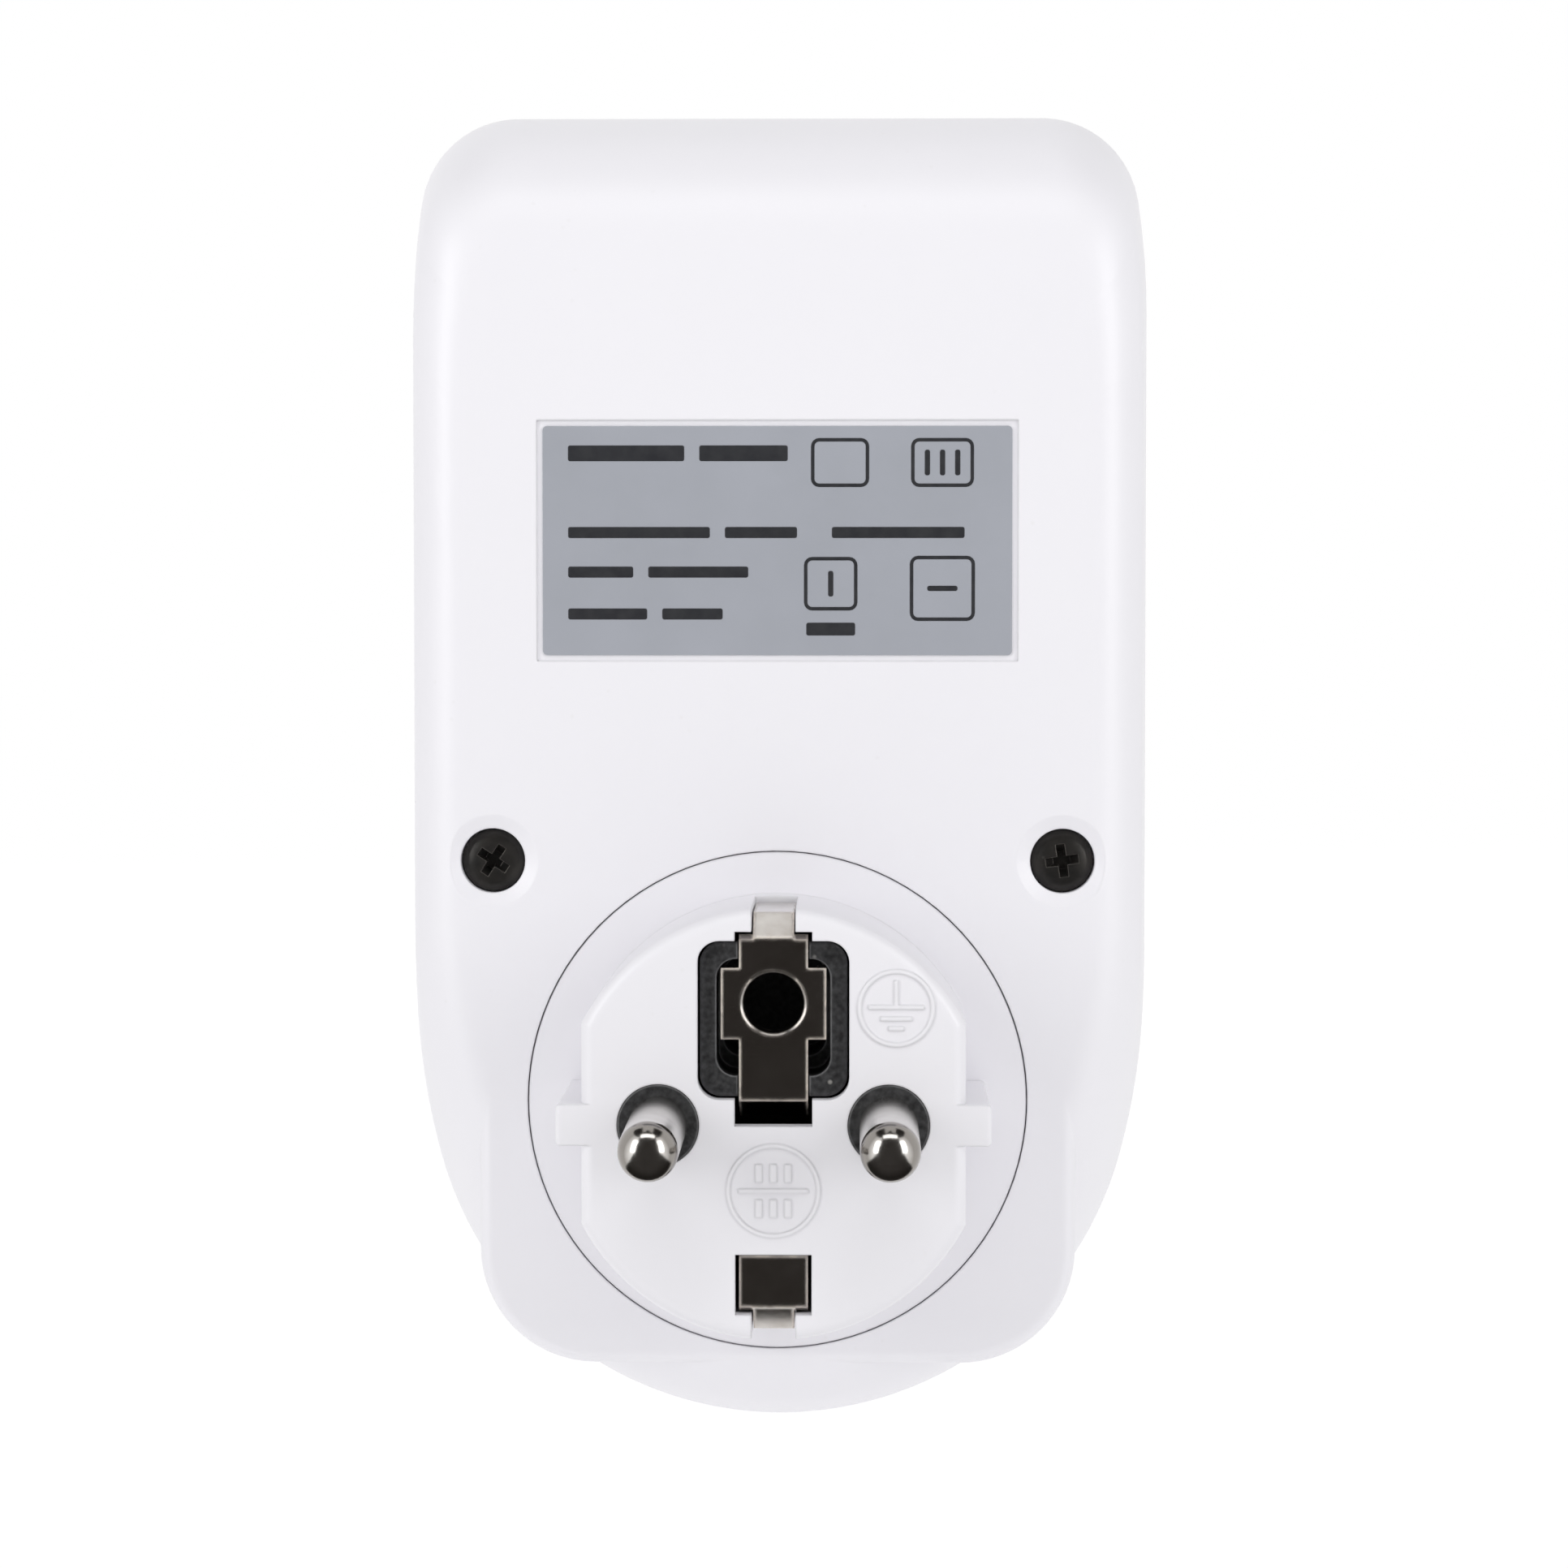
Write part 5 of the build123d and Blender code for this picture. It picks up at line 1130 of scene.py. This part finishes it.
class Segment(Enum):
    """The seven bars of a display digit: their two ends, in half widths and half heights."""

    A = ((-1, 1), (1, 1))
    B = ((1, 0), (1, 1))
    C = ((1, -1), (1, 0))
    D = ((-1, -1), (1, -1))
    E = ((-1, -1), (-1, 0))
    F = ((-1, 0), (-1, 1))
    G = ((-1, 0), (1, 0))


DIGIT_BARS: dict[str, str] = {"0": "ABCDEF", "1": "BC", "2": "ABGED"}
LARGE: Triple = (4.6, 9.6, 1.05)
SMALL: Triple = (2.2, 4.8, 0.55)


@dataclass
class DisplayDigits:
    """Dark bars on the display glass: the time 12:00, seconds and seven day ticks.

    Attributes:
        level: Y level of the glass's face.
        ink: Thickness of the bars.
        centre: Z of the display's middle, which the places below start from.
        gap: From the end of a digit's bar to the corner of the digit.
        digits: Each digit, its middle, and its size as digit() takes it.
        dots: Size and middle of the colon's dots and of the mark at the first day.
        dot_corner: Radius of their corners.
        days: How many day ticks there are.
        tick: Size of a day tick.
        tick_corner: Radius of its corners.
        first_tick: Middle of the first one.
        tick_step: Distance from one to the next.
    """

    level: float = -37.6
    ink: float = 0.03
    centre: float = 65.25
    gap: float = 0.12
    digits: tuple[tuple[str, Point, Triple], ...] = (
        ("1", (-13.5, -1.2), LARGE), ("2", (-7.0, -1.2), LARGE), ("0", (1.4, -1.2), LARGE),
        ("0", (7.9, -1.2), LARGE), ("0", (13.6, -3.5), SMALL), ("0", (16.9, -3.5), SMALL),
    )
    dots: tuple[tuple[Point, Point], ...] = (
        ((1.1, 1.1), (-2.8, -3.1)), ((1.1, 1.1), (-2.8, 0.7)), ((2.0, 1.2), (-16.2, 6.6)),
    )
    dot_corner: float = 0.2
    days: int = 7
    tick: Point = (3.4, 0.6)
    tick_corner: float = 0.15
    first_tick: Point = (-16.2, 8.4)
    tick_step: float = 5.4

    def build(self, wardrobe: Wardrobe) -> list[bpy.types.Object]:
        """Make and dress the digits.

        Args:
            wardrobe: Where their finish comes from.

        Returns:
            The one piece.
        """
        mesh = bmesh.new()
        for digit, middle, size in self.digits:
            self.digit(mesh, digit, middle, size)
        for size, middle in self.dots:
            self.bar(mesh, size, middle, self.dot_corner)
        for day in range(self.days):
            middle = (self.first_tick[0] + self.tick_step * day, self.first_tick[1])
            self.bar(mesh, self.tick, middle, self.tick_corner)
        piece = new_piece("display_digits", mesh, ROOT_BODY)
        wardrobe.dress(piece, "display_dark")
        return [piece]

    def bar(self, mesh: bmesh.types.BMesh, size: Point, middle: Point, corner: float) -> None:
        """Add one bar with rounded corners."""
        outline = rounded(size, (middle[0], self.centre + middle[1]), corner)
        prism(mesh, outline, self.level, self.level - self.ink)

    def digit(self, mesh: bmesh.types.BMesh, digit: str, middle: Point, size: Triple) -> None:
        """Add one seven-bar digit.

        Args:
            mesh: The mesh.
            digit: Which digit.
            middle: Its middle.
            size: Its width and height between the middles of its outer bars, and the bars' width.
        """
        width, height, bar = size
        for key in DIGIT_BARS[digit]:
            start, end = (Vector((x * width / 2, z * height / 2)) for x, z in Segment[key].value)
            along = (end - start).normalized()
            side = Vector((-along.y, along.x)) * bar / 2
            start, end, tip = start + along * self.gap, end - along * self.gap, along * bar / 2
            corners = (start, start + tip + side, end - tip + side,
                       end, end - tip - side, start + tip - side)
            outline = [(middle[0] + corner.x, self.centre + middle[1] + corner.y)
                       for corner in corners]
            prism(mesh, outline, self.level, self.level - self.ink)


@dataclass
class WindowBorder:
    """Dark border printed behind the clear display window.

    Attributes:
        level: Y level of the window's back.
        ink: Thickness of the print.
        centre: Z of the window's middle.
        outer: Size of the border.
        inner: Size of its opening.
        corners: Radius of the border's and of the opening's corners.
    """

    level: float = -38.7
    ink: float = 0.03
    centre: float = 65.25
    outer: Point = (45.6, 24.6)
    inner: Point = (40.6, 19.6)
    corners: Point = (2.3, 1.2)

    def build(self, wardrobe: Wardrobe) -> list[bpy.types.Object]:
        """Make and dress the border.

        Args:
            wardrobe: Where its finish comes from.

        Returns:
            The one piece.
        """
        mesh = bmesh.new()
        outlines = [rounded(size, (0.0, self.centre), corner)
                    for size, corner in zip((self.outer, self.inner), self.corners)]
        frame_prism(mesh, *outlines, self.level + self.ink, self.level)
        piece = new_piece("window_border", mesh, ROOT_BODY)
        wardrobe.dress(piece, "window_print")
        return [piece]


@dataclass
class ButtonMarks:
    """One plain printed bar on each push button.

    Attributes:
        level: Y level of the buttons' faces.
        ink: How far the print stands out of the face, and how far it reaches into it.
        bar: Size of a mark.
        corner: Radius of its corners.
        columns: X of each column of buttons.
        heights: Z of each row of buttons.
        rows: The buttons' names, as they sit.
    """

    level: float = -41.2
    ink: float = 0.004
    bar: Point = (3.4, 0.7)
    corner: float = 0.34
    columns: tuple[float, ...] = (-19.5, -6.5, 6.5, 19.5)
    heights: Point = (43.0, 33.4)
    rows: tuple[tuple[str, ...], ...] = (
        ("clock", "timer", "day", "hour"),
        ("mode", "random", "recall", "minute"),
    )

    def build(self, wardrobe: Wardrobe) -> list[bpy.types.Object]:
        """Make and dress the marks.

        Args:
            wardrobe: Where their finish comes from.

        Returns:
            The pieces.
        """
        pieces = []
        for z, names in zip(self.heights, self.rows):
            for x, name in zip(self.columns, names):
                mesh = bmesh.new()
                outline = rounded(self.bar, (x, z), self.corner)
                prism(mesh, outline, self.level + self.ink, self.level - self.ink)
                piece = new_piece(f"{name}_button_mark", mesh, f"{name}_button_body")
                wardrobe.dress(piece, "button_print")
                pieces.append(piece)
        return pieces


# ---------------------------------------------------------------------------------------- studio


@dataclass(frozen=True)
class Lamp:
    """One soft area lamp.

    Attributes:
        place: Its place, in metres.
        target: What it points at, in metres.
        size: Its width and height, in metres.
        power: Its power, in watts.
        mirrored: Whether glossy surfaces mirror it.
    """

    place: Triple
    target: Triple
    size: Point
    power: float
    mirrored: bool = True

    def build(self, name: str) -> None:
        """Make the lamp.

        Args:
            name: Its name.
        """
        data = bpy.data.lights.new(name, "AREA")
        data.shape, data.size, data.size_y = "RECTANGLE", *self.size
        data.energy = self.power
        lamp = bpy.data.objects.new(name, data)
        lamp.location = self.place
        lamp.rotation_mode = "QUATERNION"
        ahead = Vector(self.target) - Vector(self.place)
        lamp.rotation_quaternion = ahead.to_track_quat("-Z", "Y")
        lamp.visible_glossy = self.mirrored
        bpy.context.scene.collection.objects.link(lamp)


LAMPS: dict[str, Lamp] = {
    "lamp_left": Lamp((0.44, 0.38, 0.2), (0.0, 0.0, 0.01), (0.21, 0.4), 0.969),
    "lamp_right": Lamp((-0.44, 0.38, 0.2), (0.0, 0.0, 0.01), (0.21, 0.4), 0.931),
    "lamp_top": Lamp((0.0, 0.3, 0.55), (0.0, 0.0, 0.03), (0.5, 0.16), 0.7),
    "lamp_display": Lamp((0.16, -0.64, 0.36), (0.0, -0.04, 0.03), (0.5, 0.5), 1.75, mirrored=False),
}
WHITE = (1.0, 1.0, 1.0, 1.0)
UNSEEN_BY = ("camera", "diffuse", "transmission", "volume_scatter", "shadow")


@dataclass
class Studio:
    """Camera, lamps, world, floor and the dark room before the rear face that only gloss sees.

    Attributes:
        eye: The camera's place, in millimetres.
        yaw: Its turn towards +X, in degrees.
        pitch: Its tilt down, in degrees.
        lens: Its focal length, in millimetres.
        sensor: Width of its sensor, in millimetres.
        clips: The nearest and the farthest distance that it sees, in metres.
        ambient: The world's strength for diffuse light.
        floor_z: Z of the floor, in millimetres.
        floor_size: Size of the floor, in metres.
        floor_colour: Its colour, linear.
        floor_roughness: Its roughness.
        floor_white: Strength of the white that its colour is mixed with.
        floor_glow: Share of that white where the floor is seen.
        floor_bounce: The same share where the floor lights the object.
        room_level: Strength of the dark room, in gloss.
        room_colour: Its colour, linear.
        room_radius: Its radius, in metres.
        room_spread: Cosine of half the angle that its front and its ceiling span.
        ceiling_end: Where the ceiling ends behind the object, as a share of the radius.
        slot: Half width and end of the slot in the ceiling, as shares of the radius.
        sheet_lift: Height of the room's floor above the studio's, in metres.
        sheet: Corners of the room's floor, as (x, y) in metres.
    """

    eye: Triple = (-6.7, 365.0, 42.5)
    yaw: float = 0.96
    pitch: float = 2.375
    lens: float = 97.34
    sensor: float = 36.0
    clips: Point = (0.01, 20.0)
    ambient: float = 0.43
    floor_z: float = -29.7
    floor_size: float = 3.0
    floor_colour: Colour = (0.97, 0.97, 0.97)
    floor_roughness: float = 0.9
    floor_white: float = 1.04
    floor_glow: float = 0.93
    floor_bounce: float = 0.58
    room_level: float = 0.03
    room_colour: Colour = (1.0, 0.9, 0.82)
    room_radius: float = 1.1
    room_spread: float = 0.74
    ceiling_end: float = -0.3
    slot: Point = (0.25, 0.2)
    sheet_lift: float = 0.0002
    sheet: tuple[Point, ...] = (
        (-0.045, 0.012), (0.045, 0.012), (0.07, 0.06), (1.0, 1.1), (-1.0, 1.1), (-0.07, 0.06),
    )

    def build(self) -> None:
        """Make the whole studio."""
        scene = bpy.context.scene
        scene.view_settings.view_transform = "Standard"
        self.camera(scene)
        self.world(scene)
        for name, lamp in LAMPS.items():
            lamp.build(name)
        self.floor()
        self.dark_room()

    def camera(self, scene: bpy.types.Scene) -> None:
        """Make the camera.

        Args:
            scene: The scene that it belongs to.
        """
        data = bpy.data.cameras.new("camera")
        data.lens, data.sensor_width = self.lens, self.sensor
        data.clip_start, data.clip_end = self.clips
        camera = bpy.data.objects.new("camera", data)
        yaw, pitch = math.radians(self.yaw), math.radians(self.pitch)
        ahead = Vector((math.sin(yaw) * math.cos(pitch), -math.cos(yaw) * math.cos(pitch),
                        -math.sin(pitch)))
        camera.location = Vector(self.eye) * MM
        camera.rotation_mode = "QUATERNION"
        camera.rotation_quaternion = ahead.to_track_quat("-Z", "Y")
        scene.collection.objects.link(camera)
        scene.camera = camera

    def world(self, scene: bpy.types.Scene) -> None:
        """Make the world: white where it is seen, and a plain soft light elsewhere.

        Args:
            scene: The scene that it belongs to.
        """
        world = bpy.data.worlds.new("studio")
        world.use_nodes = True
        scene.world = world
        graph = Graph(world.node_tree)
        strength = graph.spread(graph.seen(), (0.0, self.ambient), (1.0, 1.0))
        background = world.node_tree.nodes["Background"]
        graph.feed(background.inputs["Color"], WHITE)
        graph.feed(background.inputs["Strength"], strength)

    def floor(self) -> None:
        """Make the plain pale floor, which keeps a faint shadow of the object."""
        mesh = bmesh.new()
        level = Matrix.Translation((0.0, 0.0, self.floor_z * MM))
        bmesh.ops.create_grid(mesh, x_segments=2, y_segments=2, size=self.floor_size, matrix=level)
        piece = self.staged("floor", mesh)
        made, graph, shader = new_material("floor_paint")
        shader.inputs["Base Color"].default_value = (*self.floor_colour, 1.0)
        shader.inputs["Roughness"].default_value = self.floor_roughness
        glow = graph.node("ShaderNodeEmission", {"Color": WHITE, "Strength": self.floor_white})
        share = graph.spread(graph.seen(), (0.0, self.floor_bounce), (1.0, self.floor_glow))
        blend = graph.node("ShaderNodeMixShader", {
            0: share, 1: shader.outputs[0], 2: glow.outputs[0],
        })
        graph.feed(made.node_tree.nodes["Material Output"].inputs["Surface"], blend.outputs[0])
        piece.data.materials.append(made)

    def dark_room(self) -> None:
        """Make the dark front, ceiling and floor before the rear face, open at the sides."""
        made, _, shader = new_material("room_dark")
        shader.inputs["Base Color"].default_value = (0.0, 0.0, 0.0, 1.0)
        shader.inputs["Specular IOR Level"].default_value = 0.0
        shader.inputs["Emission Color"].default_value = (*self.room_colour, 1.0)
        shader.inputs["Emission Strength"].default_value = self.room_level
        dome = bmesh.new()
        bmesh.ops.create_uvsphere(dome, u_segments=72, v_segments=36, radius=self.room_radius)
        spare = [face for face in dome.faces
                 if not self.closes(face.calc_center_median() / self.room_radius)]
        bmesh.ops.delete(dome, geom=spare, context="FACES")
        sheet = bmesh.new()
        level = self.floor_z * MM + self.sheet_lift
        sheet.faces.new([sheet.verts.new((x, y, level)) for x, y in self.sheet])
        for name, mesh in (("room_dome", dome), ("room_floor", sheet)):
            piece = self.staged(name, mesh)
            for ray in UNSEEN_BY:
                setattr(piece, f"visible_{ray}", False)
            piece.data.materials.append(made)

    def closes(self, middle: Vector) -> bool:
        """Tell whether a face of the dome belongs to the room's front or its ceiling.

        Args:
            middle: The face's middle, on a dome of radius 1.

        Returns:
            Whether it does.
        """
        ahead = middle.y > self.room_spread * math.hypot(middle.x, middle.y)
        slot = abs(middle.x) < self.slot[0] and middle.y < self.slot[1]
        return ahead or (middle.z > self.room_spread and middle.y > self.ceiling_end and not slot)

    @staticmethod
    def staged(name: str, mesh: bmesh.types.BMesh) -> bpy.types.Object:
        """Turn a bmesh into a studio object that rides on no body.

        Args:
            name: The thing's name.
            mesh: Its mesh, in metres, which is freed.

        Returns:
            The thing.
        """
        piece = object_of(name, mesh)
        return piece


def report(pieces: Iterable[bpy.types.Object]) -> None:
    """Log each piece with its number of faces."""
    for piece in pieces:
        LOG.info("piece %s: %d faces", piece.name, len(piece.data.polygons))


def main() -> None:
    """Build the studio and every piece, and log each piece's number of faces."""
    logging.basicConfig(level=logging.INFO, format="%(name)s %(message)s")
    Studio().build()
    wardrobe = Wardrobe()
    wardrobe.dress_frame()
    for maker in (RatingPrint(), HousingScrews(), DisplayDigits(), WindowBorder(), ButtonMarks()):
        report(maker.build(wardrobe))


if __name__ == "__main__":
    main()
